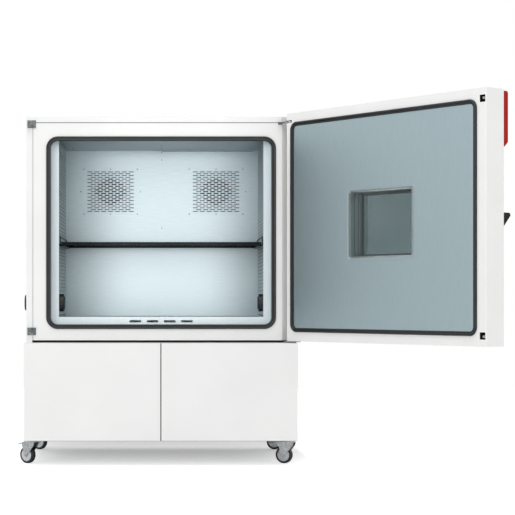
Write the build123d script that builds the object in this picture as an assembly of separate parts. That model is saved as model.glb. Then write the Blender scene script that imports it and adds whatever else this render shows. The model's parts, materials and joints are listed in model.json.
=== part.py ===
# Environmental test chamber with its door swung open: millimetres, +Z up.
# Everything is laid out on the cabinet: X to the right, Y to the rear from the casing's front face,
# Z up from the floor. The finished pieces are then moved so that the origin is on the floor at the
# centre of the whole footprint, with the door standing open.
# The door and all that it carries are drawn closed and then swung open about the hinge pins.
from build123d import *
from math import cos, hypot, radians, sin
import os

# Sheet metal and the clearance between pieces that seat on each other
sheet = 2.0
seat_gap = 0.3
running_clearance = 0.05
fold = 35.0

# Cabinet, round the chamber space
casing_floor_height = 720.0
lid_height = 32.5
side_space = 81.7
lid_space = 72.7
rear_space = 155.7
floor_foam = 83.4
corner_depth = 62.0
corner_clearance = 0.7

# Door, against the casing
door_thickness = 138.0
door_gap = 22.0
door_drop = 3.0
door_rise = 12.0
door_free_inset = 0.5
door_corner_radius = 4.0
open_angle = 128.0
hinge_axis_side = 10.0
hinge_axis_front = 10.0
hinge_edge_inset = 65.5

# Chamber space
chamber_width = 1200.0
chamber_height = 1031.0
chamber_front = 60.0
chamber_depth = 600.0
side_duct = 43.0
floor_duct = 46.0
rear_duct = 108.0
liner_radius = 42.0
insulation_thickness = 59.0

# Seals
cabinet_seal_width = 27.0
cabinet_seal_height = 9.5
cabinet_seal_lap = 5.0
door_seal_width = 24.0
door_seal_height = 12.0
door_seal_hinge_inset = 38.0
door_seal_free_inset = 60.0
door_seal_end_inset = 53.0
door_seal_radius = 48.0

# Fans
fan_spacing = 658.0
fan_shift = 9.0
fan_below_ceiling = 256.0
fan_radius = 84.0
fan_width = 36.0
blade_count = 11
blade_thickness = 2.4
hub_radius = 30.0
shaft_radius = 7.0
shaft_hole_radius = 10.0
inlet_radius = 88.0
inlet_flange = 18.0
inlet_depth = 12.0
grille_width = 353.0
grille_height = 300.0
grille_sheet = 1.5
grille_slot_width = 33.0
grille_slot_height = 6.5
grille_pitch_x = 43.0
grille_pitch_z = 22.4
grille_columns = 7
grille_rows = 12
motor_radius = 62.0
motor_length = 96.0
motor_flange = 78.0

# Air handling behind the rear wall
evaporator_inset = 120.0
evaporator_height = 300.0
evaporator_depth = 72.0
heater_rod_radius = 5.0
heater_rods = 3
heater_pitch = 30.0

# Shelf and rails
shelf_height = 423.0
shelf_thickness = 17.0
shelf_depth = 560.0
shelf_front = 80.0
shelf_side_gap = 12.0
shelf_band = 8.0
shelf_wire = 4.4
shelf_wire_pitch = 26.0
rail_wire = 6.0
rail_height = 58.0
rail_ledge = 18.0

# Side baffles
rib_pitch = 21.0
rib_width = 6.0
rib_rise = 2.5
rib_margin = 26.0
rib_end_gap = 15.0

# Sill slots
sill_slots = 4
sill_slot_width = 67.0
sill_slot_height = 13.5
sill_slot_pitch = 101.0
sill_slot_drop = 26.0

# Access ports
port_bore = 40.0
port_wall = 3.0
port_flange = 52.0
port_from_front = 90.0
port_from_floor = 83.0
port_inner_rise = 24.0
port_outer_rise = 12.0
port_cap_rise = 8.0
port_cap_radius = 46.0

# Window
window_width = 484.0
window_height = 372.0
window_from_hinge = 755.0
window_from_bottom = 655.0
window_radius = 8.0
pane_count = 5
pane_thickness = 5.0
spacer_band = 9.0
outer_spacer_band = 22.0

# Latch
latch_inset = 55.0
latch_side = 42.5
latch_opening = 37.0
latch_travel = 12.0
latch_overlap = 3.0
striker_plate_width = 50.0
striker_plate_height = 44.0
striker_plate_thickness = 4.0
striker_nose_width = 18.0
striker_nose_height = 15.0
striker_reach = 46.0
latch_gap = 0.6
tongue_height = 12.0
tongue_width = 16.0
tongue_wrap = 2.0
rod_radius = 5.0
rod_depth = 40.0
rod_channel = 3.0
latch_case_height = 60.0
latch_case_width = 32.0
latch_case_wall = 9.0
latch_neck_width = 28.0
latch_neck_height = 22.0

# Handle
handle_from_bottom = 687.0
handle_height = 74.0
handle_reach = 60.0
handle_width = 137.0
handle_edge_gap = 5.0
handle_pivot_radius = 9.0
handle_pin_radius = 3.0
handle_ear = 4.0
handle_stand = 1.5
handle_wall = 12.0

# Instrument panel
panel_width = 340.0
panel_height = 286.0
panel_thickness = 30.0
panel_drop = 8.0
display_width = 210.0
display_height = 126.0
display_thickness = 3.0
display_level = 0.62
switch_radius = 14.0
switch_across = 0.8
switch_up = 0.2
switch_chamfer = 1.2

# Hinges
hinge_pin_radius = 6.0
bush_wall = 3.0
hinge_pin_head = 3.0
hinge_wing = 13.0
hinge_eye = 14.0
hinge_plate = 5.0
hinge_arm = 104.0
hinge_arm_width = 28.0
hinge_bracket_reach = 48.0
top_hinge_drop = 45.0
hinge_play = 0.3
pocket_clearance = 6.0

# Lower housing
base_rail_width = 60.0
base_rail_height = 50.0
pad_thickness = 5.0
panel_split = 6.0
panel_return = 18.0
louvre_count = 9
louvre_width = 420.0
louvre_height = 9.0
louvre_pitch = 26.0
gland_radius = 17.0
gland_length = 26.0
gland_nut = 7.0
gland_nut_thickness = 9.0
gland_from_side = 110.0
gland_from_bottom = 60.0

# Refrigeration set
compressor_radius = 105.0
compressor_height = 300.0
compressor_dome = 55.0
compressor_seam = 4.0
compressor_seam_level = 0.45
compressor_foot = 6.0
compressor_spacing = 330.0
compressor_place_y = 420.0
condenser_width = 900.0
condenser_height = 380.0
condenser_depth = 60.0
condenser_rear_gap = 60.0
control_box_width = 300.0
control_box_depth = 180.0
control_box_height = 380.0
control_box_side_gap = 80.0
control_box_place_y = 40.0

# Casters
caster_edge = 1.0
caster_front = 20.0
caster_rear_inset = 85.0
caster_trail = 35.0
caster_plate_length = 90.0
caster_plate_width = 66.0
caster_plate_thickness = 6.0
kingpin_radius = 8.0
wheel_radius = 50.0
wheel_headroom = 24.2
wheel_width = 32.0
tyre_depth = 7.0
tyre_bevel = 4.9
hub_face = 22.0
wheel_dish = 2.0
axle_radius = 5.0
fork_sheet = 3.5
fork_gap = 2.0
swivel_radius = 29.0
swivel_height = 12.0
pedal_width = 24.0
pedal_length = 65.0
pedal_pin_radius = 2.5
pedal_eye = 5.5
caster_headings = {"front_left": 144.0, "front_right": 155.0, "rear_left": 150.0, "rear_right": 160.0}

# Places that follow from the sizes: the chamber first, then what is built round it
skin = sheet + seat_gap
half_chamber = chamber_width / 2
half_liner = half_chamber + side_duct
foam_reach = half_liner + skin + insulation_thickness
half_width = foam_reach + side_space
corner_x = foam_reach + corner_clearance
corner_width = half_width - corner_x
liner_bottom = casing_floor_height + skin + floor_foam + skin
chamber_floor_height = liner_bottom + floor_duct + sheet
liner_top = chamber_floor_height + chamber_height
liner_height = liner_top - liner_bottom
liner_middle = (liner_top + liner_bottom) / 2
foam_top = liner_top + skin + insulation_thickness
casing_top = foam_top + lid_space + sheet
lid_seam = casing_top - lid_height
chamber_back = chamber_front + chamber_depth
liner_back = chamber_back + rear_duct
insulation_back = liner_back + skin + insulation_thickness
casing_depth = insulation_back + rear_space
door_outer = -(door_gap + door_thickness)
hinge_edge = half_width - hinge_edge_inset
free_edge = -half_width + door_free_inset
door_bottom = casing_floor_height - door_drop
door_top = casing_top + door_rise
door_height = door_top - door_bottom
hinge_x = hinge_edge + hinge_axis_side
hinge_y = -door_gap - hinge_axis_front
hinge_level = door_top - top_hinge_drop
deck_height = door_bottom - 2 * hinge_plate - hinge_play
port_place_y = chamber_front + port_from_front
port_place_z = chamber_floor_height + port_from_floor
handle_top = door_bottom + handle_from_bottom
fan_z = liner_top - fan_below_ceiling
fan_places = {"left": fan_shift - fan_spacing / 2, "right": fan_shift + fan_spacing / 2}
inlet_back = chamber_back + sheet + seat_gap + inlet_depth
fan_front = inlet_back + 2.0
baffle_clear = half_chamber - rib_rise - seat_gap
window_x = hinge_edge - window_from_hinge
window_z = door_bottom + window_from_bottom
latch_x = free_edge + latch_side - latch_opening / 2
rod_y_place = -door_gap - rod_depth
shelf_bottom = chamber_floor_height + shelf_height
shelf_top = shelf_bottom + shelf_thickness
half_shelf = half_chamber - shelf_side_gap
caster_side = half_width - caster_edge - caster_plate_width / 2
caster_rear = casing_depth - caster_rear_inset
crown_height = 2 * wheel_radius + wheel_headroom + fork_sheet
base_height = crown_height + swivel_height + seat_gap + caster_plate_thickness
tray_top = base_height + base_rail_height + sheet
caster_places = {
    "front_left": (-caster_side, caster_front),
    "front_right": (caster_side, caster_front),
    "rear_left": (-caster_side, caster_rear),
    "rear_right": (caster_side, caster_rear),
}


def block(x0, x1, y0, y1, z0, z1):
    centre = Location(((x0 + x1) / 2, (y0 + y1) / 2, (z0 + z1) / 2))
    return centre * Box(abs(x1 - x0), abs(y1 - y0), abs(z1 - z0))


def front_slab(shape, y0, y1):
    """A flat shape drawn in X and Z, solid from y0 back to y1."""
    return extrude(Plane((0, y1, 0), x_dir=(1, 0, 0), z_dir=(0, -1, 0)) * shape, amount=y1 - y0)


def side_slab(shape, x0, x1):
    """A flat shape drawn in Y and Z, solid between x0 and x1."""
    low, high = sorted((x0, x1))
    return extrude(Plane((low, 0, 0), x_dir=(0, 1, 0), z_dir=(1, 0, 0)) * shape, amount=high - low)


def plan_slab(shape, z0, z1):
    """A flat shape drawn in X and Y, solid from z0 up to z1."""
    return extrude(Plane.XY.offset(z0) * shape, amount=z1 - z0)


def polygon(points):
    return make_face(Polyline(*points, close=True))


def folded(line, thickness):
    """The outline of a sheet bent along a line of points, with its thickness to the line's left."""
    steps = [(b[0] - a[0], b[1] - a[1]) for a, b in zip(line, line[1:])]
    normals = [(-dy / hypot(dx, dy), dx / hypot(dx, dy)) for dx, dy in steps]
    inside = []
    for i, (x, y) in enumerate(line):
        before = normals[max(i - 1, 0)]
        after = normals[min(i, len(normals) - 1)]
        reach = thickness / (1 + before[0] * after[0] + before[1] * after[1])
        inside.append((x + (before[0] + after[0]) * reach, y + (before[1] + after[1]) * reach))
    return polygon(list(line) + inside[::-1])


def rounded(x, z, width, height, radius):
    return Pos(x, z) * RectangleRounded(width, height, radius)


def ring(x, z, width, height, radius, band):
    """A rounded frame whose band lies inside the given width and height."""
    hole = RectangleRounded(width - 2 * band, height - 2 * band, max(radius - band, 1.0))
    return Pos(x, z) * (RectangleRounded(width, height, radius) - hole)


def rod_x(y, z, radius, x0, x1):
    return side_slab(Pos(y, z) * Circle(radius), x0, x1)


def rod_y(x, z, radius, y0, y1):
    return front_slab(Pos(x, z) * Circle(radius), y0, y1)


def rod_z(x, y, radius, z0, z1):
    return plan_slab(Pos(x, y) * Circle(radius), z0, z1)


def swung(shape):
    """Swing a piece of the closed door to where the door stands."""
    return Pos(hinge_x, hinge_y, 0) * Rot(0, 0, open_angle) * Pos(-hinge_x, -hinge_y, 0) * shape


def group(*shapes):
    """Separate solids kept together as one piece."""
    return Compound([solid for shape in shapes for solid in shape.solids()])


# Casing

def casing_plan(inset):
    """The casing seen from above, with its cut corner at the hinges."""
    outline = polygon([
        (-half_width, 0),
        (corner_x, 0),
        (half_width, corner_depth),
        (half_width, casing_depth),
        (-half_width, casing_depth),
    ])
    return outline if inset == 0 else offset(outline, amount=-inset, kind=Kind.INTERSECTION)


def port_hole(x0, x1, radius):
    return rod_x(port_place_y, port_place_z, radius, x0, x1)


def make_casing_side_left():
    line = [(-half_width + fold, casing_depth), (-half_width, casing_depth), (-half_width, 0),
            (-half_width + fold, 0)]
    side = plan_slab(folded(line, sheet), deck_height, lid_seam)
    return side - port_hole(-half_width - 1, -half_width + sheet + 1, port_bore + port_wall + seat_gap)


def make_casing_side_right():
    line = [(half_width, corner_depth + seat_gap), (half_width, casing_depth),
            (half_width - fold, casing_depth)]
    side = plan_slab(folded(line, sheet), deck_height, lid_seam)
    return side - port_hole(half_width - sheet - 1, half_width + 1, port_bore + port_wall + seat_gap)


def make_casing_lid():
    lid = plan_slab(casing_plan(0), lid_seam, casing_top)
    return lid - plan_slab(casing_plan(sheet), lid_seam - 1, casing_top - sheet)


def make_casing_back():
    edge = half_width - fold - seat_gap
    return block(-edge, edge, casing_depth - sheet, casing_depth, deck_height, lid_seam)


def make_casing_floor():
    pan = plan_slab(casing_plan(sheet + seat_gap), casing_floor_height, casing_floor_height + sheet)
    return pan - block(-half_width, half_width, -1, sheet + seat_gap, 0, casing_top)


def make_front_frame():
    end_x = half_width - sheet - 0.5
    end_y = (end_x - corner_x) * corner_depth / corner_width
    line = [(-half_width + fold + seat_gap, 0), (corner_x, 0), (end_x, end_y)]
    frame = plan_slab(folded(line, sheet), casing_floor_height, lid_seam)
    hole = rounded(0, liner_middle, 2 * (half_liner + sheet) + 1, liner_height + 2 * sheet + 1,
                   liner_radius + sheet)
    return frame - front_slab(hole, -1, sheet + 1)


def make_cabinet_seal():
    width = 2 * (half_liner + cabinet_seal_width)
    height = liner_height + 2 * (cabinet_seal_width - cabinet_seal_lap)
    band = front_slab(ring(0, liner_middle, width, height, liner_radius + cabinet_seal_width,
                           cabinet_seal_width), -cabinet_seal_height, 0)
    front = band.faces().sort_by(Axis.Y)[0]
    return chamfer(front.edges(), cabinet_seal_height * 0.6)


def make_insulation():
    margin = sheet + seat_gap
    reach = foam_reach
    foam = block(-reach, reach, margin, insulation_back, casing_floor_height + margin, foam_top)
    space = rounded(0, liner_middle, 2 * (half_liner + margin), liner_height + 2 * margin,
                    liner_radius + margin)
    foam = foam - front_slab(space, 0, liner_back + margin)
    foam = foam - port_hole(-reach - 1, reach + 1, port_bore + port_wall + seat_gap)
    for x in fan_places.values():
        foam = foam - rod_y(x, fan_z, shaft_hole_radius, liner_back, insulation_back + 1)
    return foam


# Chamber

def make_chamber_liner():
    outside = rounded(0, liner_middle, 2 * (half_liner + sheet), liner_height + 2 * sheet,
                      liner_radius + sheet)
    inside = rounded(0, liner_middle, 2 * half_liner, liner_height, liner_radius)
    liner = front_slab(outside, 0, liner_back + sheet) - front_slab(inside, -1, liner_back)
    liner = liner - port_hole(-half_liner - sheet - 1, half_liner + sheet + 1,
                              port_bore + port_wall + seat_gap)
    for x in fan_places.values():
        liner = liner - rod_y(x, fan_z, shaft_hole_radius, liner_back - 1, liner_back + sheet + 1)
    return liner


def make_air_collar():
    """The front-facing strips beside and below the chamber space, with the slots of the sill."""
    plate = rounded(0, liner_middle, 2 * (half_liner - seat_gap), liner_height - 2 * seat_gap,
                    liner_radius - seat_gap)
    plate = plate - Pos(0, chamber_floor_height + chamber_height) * Rectangle(
        chamber_width, 2 * chamber_height)
    for i in range(sill_slots):
        x = (i - (sill_slots - 1) / 2) * sill_slot_pitch
        plate = plate - Pos(x, chamber_floor_height - sill_slot_drop) * Rectangle(
            sill_slot_width, sill_slot_height)
    return front_slab(plate, chamber_front - sheet, chamber_front)


def make_chamber_floor():
    return block(-half_chamber, half_chamber, chamber_front, chamber_back,
                 chamber_floor_height - sheet, chamber_floor_height)


def make_side_baffle(side):
    """One ribbed air guide, on the left with side -1 and on the right with side 1."""
    plate = block(side * half_chamber, side * (half_chamber + sheet), chamber_front, chamber_back,
                  liner_bottom + seat_gap, liner_top - seat_gap)
    count = int((chamber_height - 2 * rib_margin) / rib_pitch) + 1
    first = chamber_floor_height + (chamber_height - (count - 1) * rib_pitch) / 2
    ribs = [
        block(side * (half_chamber - rib_rise), side * half_chamber, chamber_front + rib_end_gap,
              chamber_back - rib_end_gap, first + i * rib_pitch - rib_width / 2,
              first + i * rib_pitch + rib_width / 2)
        for i in range(count)
    ]
    baffle = plate + ribs
    flat = side_slab(Pos(port_place_y, port_place_z) * Circle(port_flange + seat_gap),
                     side * (half_chamber - rib_rise - 1), side * half_chamber)
    hole = port_hole(side * (half_chamber - 1), side * (half_chamber + sheet + 1),
                     port_bore + port_wall + seat_gap)
    return baffle - flat - hole


def make_rear_wall():
    edge = half_chamber + sheet
    wall = block(-edge, edge, chamber_back, chamber_back + sheet, liner_bottom + seat_gap,
                 liner_top - seat_gap)
    for x in fan_places.values():
        wall = wall - rod_y(x, fan_z, inlet_radius, chamber_back - 1, chamber_back + sheet + 1)
    return wall


def make_fan_grilles():
    """The two perforated covers, their staggered slots a little coarser than the real ones."""
    slots = []
    for row in range(grille_rows):
        shift = grille_pitch_x / 2 if row % 2 else 0
        for column in range(grille_columns - row % 2):
            x = (column - (grille_columns - 1) / 2) * grille_pitch_x + shift
            z = (row - (grille_rows - 1) / 2) * grille_pitch_z
            slots.append(Pos(x, z) * Rectangle(grille_slot_width, grille_slot_height))
    sheet_shape = RectangleRounded(grille_width, grille_height, 4) - slots
    front = chamber_back - seat_gap - grille_sheet
    return group(*[
        front_slab(Pos(x, fan_z) * sheet_shape, front, front + grille_sheet)
        for x in fan_places.values()
    ])


def make_inlet_rings():
    """Each inlet ring is a flange behind the rear wall and a tapered throat in front of the blades."""
    start = chamber_back + sheet + seat_gap
    throat = fan_radius - 8
    mouth = inlet_radius - 2
    profile = polygon([
        (mouth, 0), (inlet_radius + inlet_flange, 0), (inlet_radius + inlet_flange, sheet),
        (mouth, sheet), (throat + sheet, inlet_depth), (throat, inlet_depth), (throat, inlet_depth / 2),
    ])
    body = revolve(profile, Axis.Y)
    return group(*[
        Pos(x, start, fan_z) * body for x in fan_places.values()
    ])


def make_fan(x):
    """A centrifugal impeller with blades curved backwards, its hub and its shaft."""
    blade_path = ThreePointArc(
        (hub_radius + 14, 0),
        ((hub_radius + fan_radius) / 2 + 8, 17),
        (fan_radius * cos(radians(42)), fan_radius * sin(radians(42))),
    )
    blade = trace(blade_path, blade_thickness)
    blades = Sketch() + [Rot(0, 0, i * 360 / blade_count) * blade for i in range(blade_count)]
    blades = blades & Circle(fan_radius)
    plate = 2.0
    back = fan_front + fan_width
    wheel = front_slab(blades, fan_front + plate, back) + rod_y(0, 0, fan_radius, back, back + plate)
    wheel = wheel + front_slab(Circle(fan_radius) - Circle(fan_radius - 24), fan_front, fan_front + plate)
    wheel = wheel + rod_y(0, 0, hub_radius, fan_front + 8, back)
    nose = [e for e in wheel.edges().filter_by(GeomType.CIRCLE) if abs(e.radius - hub_radius) < 0.01]
    wheel = chamfer(sorted(nose, key=lambda e: e.center().Y)[0], 8)
    motor_end = insulation_back + seat_gap + motor_length
    wheel = wheel + rod_y(0, 0, shaft_radius, back, motor_end - 24)
    return Pos(x, 0, fan_z) * wheel


def make_fan_motors():
    start = insulation_back + seat_gap
    motor = rod_y(0, 0, motor_flange, start, start + 6) + rod_y(0, 0, motor_radius, start, start + motor_length)
    motor = motor - rod_y(0, 0, shaft_radius + running_clearance, start - 1, start + motor_length - 20)
    return group(*[Pos(x, 0, fan_z) * motor for x in fan_places.values()])


def make_evaporator():
    """The finned cooling block in the rear duct, standing on its two end plates."""
    bottom = liner_bottom + seat_gap
    front = chamber_back + sheet + 8
    back = liner_back - seat_gap
    half = half_chamber - evaporator_inset
    core = block(-half, half, front, front + evaporator_depth, bottom + 60, bottom + 60 + evaporator_height)
    ends = [
        block(side * half, side * (half + 4), front, back, bottom, bottom + 64 + evaporator_height)
        for side in (-1, 1)
    ]
    return core + ends


def make_heater():
    back = liner_back - seat_gap
    bottom = liner_bottom + 90 + evaporator_height
    half = half_chamber - evaporator_inset
    y = chamber_back + sheet + evaporator_depth / 2
    rods = [
        rod_x(y, bottom + heater_pitch * (i + 0.5), heater_rod_radius, -half, half)
        for i in range(heater_rods)
    ]
    ends = [
        block(side * half, side * (half + 4), y - 14, back, bottom, bottom + heater_pitch * heater_rods)
        for side in (-1, 1)
    ]
    return rods[0] + rods[1:] + ends


def make_shelf_rails():
    """A loop of wire on each baffle with a ledge that carries the shelf."""
    depth = chamber_depth - 2 * rib_end_gap
    middle = (chamber_front + chamber_back) / 2
    low = shelf_bottom - seat_gap - rail_wire
    loop = Pos(middle, low + rail_height / 2) * (
        RectangleRounded(depth, rail_height, 12) - RectangleRounded(depth - 2 * rail_wire,
                                                                    rail_height - 2 * rail_wire, 6))
    rails = []
    for side in (-1, 1):
        rail = side_slab(loop, side * baffle_clear, side * (baffle_clear - rail_wire))
        ledge = block(side * baffle_clear, side * (baffle_clear - rail_wire - rail_ledge),
                      middle - depth / 2 + 12, middle + depth / 2 - 12, low, low + rail_wire)
        rails.append(rail + ledge)
    return group(*rails)


def make_shelf():
    """A wire rack: a deep band all round, cross bars, and wires from front to back."""
    back = shelf_front + shelf_depth
    frame = block(-half_shelf, half_shelf, shelf_front, back, shelf_bottom, shelf_top)
    frame = frame - block(-half_shelf + shelf_band, half_shelf - shelf_band, shelf_front + shelf_band,
                          back - shelf_band, shelf_bottom - 1, shelf_top + 1)
    bars = [
        block(-half_shelf + 1, half_shelf - 1, y - shelf_band / 2, y + shelf_band / 2,
              shelf_bottom + 3, shelf_top - shelf_wire / 2)
        for y in (shelf_front + shelf_depth / 3, shelf_front + 2 * shelf_depth / 3)
    ]
    count = int((2 * half_shelf - 2 * shelf_band) / shelf_wire_pitch)
    wires = []
    for i in range(count + 1):
        x = (i - count / 2) * shelf_wire_pitch
        shape = Pos(x, shelf_top) * RegularPolygon(shelf_wire / 2, 6)
        wires.append(front_slab(shape, shelf_front + 2, back - 2))
    return frame + bars + wires


def make_port_sleeves():
    """A moulded sleeve through each side wall, flanged inside and out."""
    sleeves = []
    for side in (-1, 1):
        inner = side * (half_chamber - port_inner_rise)
        outer = side * (half_width + port_outer_rise)
        sleeve = port_hole(inner, outer, port_bore + port_wall)
        sleeve = sleeve + port_hole(inner, side * half_chamber, port_flange)
        sleeve = sleeve + port_hole(side * (half_width + seat_gap), outer, port_flange)
        sleeves.append(sleeve - port_hole(inner - side, outer + side, port_bore))
    return group(*sleeves)


def make_port_plug(side):
    """A stopper that fills the sleeve, with a bevelled end inside and a cap to pull outside."""
    inner = half_chamber - port_inner_rise - 6
    outer = half_width + port_outer_rise + seat_gap
    core = port_hole(side * inner, side * (outer + 1), port_bore - running_clearance)
    dome = core.faces().sort_by(Axis.X)[0 if side > 0 else -1]
    core = chamfer(dome.edges(), 5)
    cap = port_hole(side * outer, side * (outer + port_cap_rise), port_cap_radius)
    rim = cap.faces().sort_by(Axis.X)[-1 if side > 0 else 0]
    return core + chamfer(rim.edges(), 3)


# Door, drawn closed

def door_window(margin):
    return rounded(window_x, window_z, window_width + 2 * margin, window_height + 2 * margin,
                   window_radius + margin)


def door_seal_frame(inset):
    """The rounded outline that the door seal follows, drawn in by a distance."""
    left = free_edge + door_seal_free_inset
    right = hinge_edge - door_seal_hinge_inset
    height = door_height - 2 * door_seal_end_inset
    return ((left + right) / 2, door_bottom + door_height / 2, right - left - 2 * inset,
            height - 2 * inset, door_seal_radius - inset)


def latch_places():
    """The height of each latch opening, with the way from it to the door's nearer end."""
    return {"top": (door_top - latch_inset, 1), "bottom": (door_bottom + latch_inset, -1)}


def top_hinge_pocket(margin):
    """The pocket in the door's corner that the fixed hinge plate reaches into."""
    floor = hinge_level - 2 * hinge_plate - hinge_play - seat_gap
    return block(hinge_x - hinge_bracket_reach - pocket_clearance - margin, hinge_edge + 1,
                 hinge_y - hinge_eye - pocket_clearance - margin, -door_gap + 1, floor - margin,
                 hinge_level + pocket_clearance + margin)


def handle_case(margin):
    z = handle_top - handle_pivot_radius
    x = latch_x
    half = latch_case_width / 2 + margin
    return block(x - half, x + half, door_outer + sheet - margin,
                 rod_y_place + rod_radius + latch_case_wall + margin,
                 z - latch_case_height / 2 - margin, z + latch_case_height / 2 + margin)


def latch_neck(margin, y0, y1):
    """The way through the door's outer sheet from the handle to the latch case."""
    z = handle_top - 2 * handle_pivot_radius + 1
    half = latch_neck_width / 2 + margin
    return block(latch_x - half, latch_x + half, y0, y1, z - latch_neck_height / 2 - margin,
                 z + latch_neck_height / 2 + margin)


def make_door_shell():
    shell = block(free_edge, hinge_edge, door_outer, -door_gap, door_bottom, door_top)
    shell = fillet(shell.edges().filter_by(Axis.Z), door_corner_radius)
    shell = shell - block(free_edge + sheet, hinge_edge - sheet, door_outer + sheet,
                          -door_gap - sheet, door_bottom + sheet, door_top - sheet)
    x, z, width, height, radius = door_seal_frame(door_seal_width / 2 - seat_gap)
    shell = shell - front_slab(rounded(x, z, width, height, radius), -door_gap - sheet - 1, -door_gap + 1)
    shell = shell - front_slab(door_window(0), door_outer - 1, door_outer + sheet + 1)
    for z, end in latch_places().values():
        shell = shell - block(latch_x - latch_opening / 2, latch_x + latch_opening / 2,
                              -door_gap - sheet - 1, -door_gap + 1, z - latch_opening / 2,
                              z + latch_opening / 2)
    shell = shell - latch_neck(1.0, door_outer - 1, door_outer + sheet + 1)
    return shell - top_hinge_pocket(0)


def make_door_liner():
    x, z, width, height, radius = door_seal_frame(door_seal_width / 2)
    panel = rounded(x, z, width, height, radius) - door_window(0)
    return front_slab(panel, -door_gap - sheet, -door_gap)


def make_door_core():
    """The foam that fills the door, with channels for the latch rods and pockets for their tongues."""
    margin = sheet + seat_gap
    core = block(free_edge + margin, hinge_edge - margin, door_outer + margin, -door_gap - margin,
                 door_bottom + margin, door_top - margin)
    core = core - front_slab(door_window(seat_gap), door_outer, -door_gap)
    core = core - rod_z(latch_x, rod_y_place, rod_radius + rod_channel, door_bottom, door_top)
    pocket = tongue_height - latch_overlap + latch_gap + latch_travel + rod_channel
    for z, end in latch_places().values():
        core = core - block(latch_x - latch_opening / 2, latch_x + latch_opening / 2,
                            rod_y_place - rod_radius - tongue_wrap - rod_channel, -door_gap,
                            z - pocket, z + pocket)
    return core - handle_case(seat_gap) - top_hinge_pocket(seat_gap)


def make_door_seal():
    x, z, width, height, radius = door_seal_frame(0)
    band = front_slab(ring(x, z, width, height, radius, door_seal_width),
                      -door_gap, -door_gap + door_seal_height)
    back = band.faces().sort_by(Axis.Y)[-1]
    return chamfer(back.edges(), door_seal_height * 0.5)


def pane_start(i):
    """The front-to-rear place of a window pane, counted from the chamber side."""
    pitch = (door_thickness - pane_thickness) / (pane_count - 1)
    return -door_gap - pane_thickness - i * pitch


def make_window_panes():
    return group(*[
        front_slab(door_window(-seat_gap), pane_start(i), pane_start(i) + pane_thickness)
        for i in range(pane_count)
    ])


def make_window_spacers():
    spacers = []
    for i in range(pane_count - 1):
        band = outer_spacer_band if i == pane_count - 2 else spacer_band
        frame = ring(window_x, window_z, window_width - 2 * seat_gap, window_height - 2 * seat_gap,
                     window_radius - seat_gap, band)
        spacers.append(front_slab(frame, pane_start(i + 1) + pane_thickness, pane_start(i)))
    return group(*spacers)


def make_instrument_panel():
    """The moulded housing at the door's top corner, its lower edge bevelled and its upper one round."""
    low = door_top - panel_drop - panel_height
    face = door_outer - panel_thickness
    profile = polygon([
        (door_outer, low), (door_outer - 4, low), (face, low + 24),
        (face, low + panel_height), (door_outer, low + panel_height),
    ])
    corners = profile.vertices().sort_by(Axis.X)[:2]
    profile = fillet(corners.sort_by(Axis.Y)[-1], 12)
    housing = side_slab(profile, free_edge, free_edge + panel_width)
    x = free_edge + panel_width / 2
    z = low + panel_height * display_level
    recess = block(x - display_width / 2, x + display_width / 2, face - 1, face + display_thickness,
                   z - display_height / 2, z + display_height / 2)
    return housing - recess - switch_bore()


def switch_place():
    low = door_top - panel_drop - panel_height
    return free_edge + panel_width * switch_across, low + panel_height * switch_up


def switch_bore():
    x, z = switch_place()
    face = door_outer - panel_thickness
    return rod_y(x, z, switch_radius + seat_gap, face - 1, face + 12)


def make_power_switch():
    """A round push button that latches in."""
    x, z = switch_place()
    face = door_outer - panel_thickness
    button = rod_y(x, z, switch_radius, face - 5, face + 7)
    front = button.faces().sort_by(Axis.Y)[0]
    return chamfer(front.edges(), switch_chamfer)


def make_display():
    low = door_top - panel_drop - panel_height
    face = door_outer - panel_thickness
    x = free_edge + panel_width / 2
    z = low + panel_height * display_level
    return block(x - display_width / 2 + seat_gap, x + display_width / 2 - seat_gap, face - 1,
                 face + display_thickness - seat_gap, z - display_height / 2 + seat_gap,
                 z + display_height / 2 - seat_gap)


def handle_span():
    """The lever's left and right ends, between the two ears of its bracket."""
    left = free_edge + handle_edge_gap + handle_ear + seat_gap
    return left, left + handle_width


def make_handle_bracket():
    """The plate on the door with two ears and a pin, and the latch case behind it."""
    left, right = handle_span()
    z = handle_top - handle_pivot_radius
    y = door_outer - handle_pivot_radius - handle_stand
    plate = block(left - handle_ear - seat_gap, right + handle_ear + seat_gap, door_outer - 1,
                  door_outer, handle_top - handle_height, handle_top)
    profile = Pos(y, z) * Circle(handle_pivot_radius - 1) + Pos((y + door_outer) / 2, z) * Rectangle(
        abs(y - door_outer), 2 * handle_pivot_radius - 2)
    ears = [
        side_slab(profile, left - seat_gap - handle_ear, left - seat_gap),
        side_slab(profile, right + seat_gap, right + seat_gap + handle_ear),
    ]
    pin = rod_x(y, z, handle_pin_radius, left - seat_gap - 1, right + seat_gap + 1)
    case = handle_case(0)
    neck = latch_neck(0, door_outer - 1, door_outer + sheet + 1)
    case = case - rod_z(latch_x, rod_y_place, rod_radius + running_clearance, door_bottom, door_top)
    return plate + ears + pin + neck + case


def make_handle_lever():
    """A wedge that is pulled from below: flat top, slanted underside and a slot for the fingers."""
    left, right = handle_span()
    z = handle_top - handle_pivot_radius
    y = door_outer - handle_pivot_radius - handle_stand
    tip = door_outer - handle_reach
    low = handle_top - handle_height
    profile = polygon([
        (y, handle_top), (tip + 9, handle_top), (tip, handle_top - 7), (tip, handle_top - 16),
        (door_outer - 6, low), (door_outer - 2.5, low + 2), (door_outer - 2.5, z - 6), (y, z - 6),
    ]) + Pos(y, z) * Circle(handle_pivot_radius)
    lever = side_slab(profile, left, right)
    slot = polygon([
        (door_outer - 14, low - 5), (door_outer - 14, z - 16), (tip + 18, z - 16), (tip + 18, low - 5),
    ])
    lever = lever - side_slab(slot, left + handle_wall, right - handle_wall)
    return lever - rod_x(y, z, handle_pin_radius + running_clearance, left - 1, right + 1)


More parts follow.
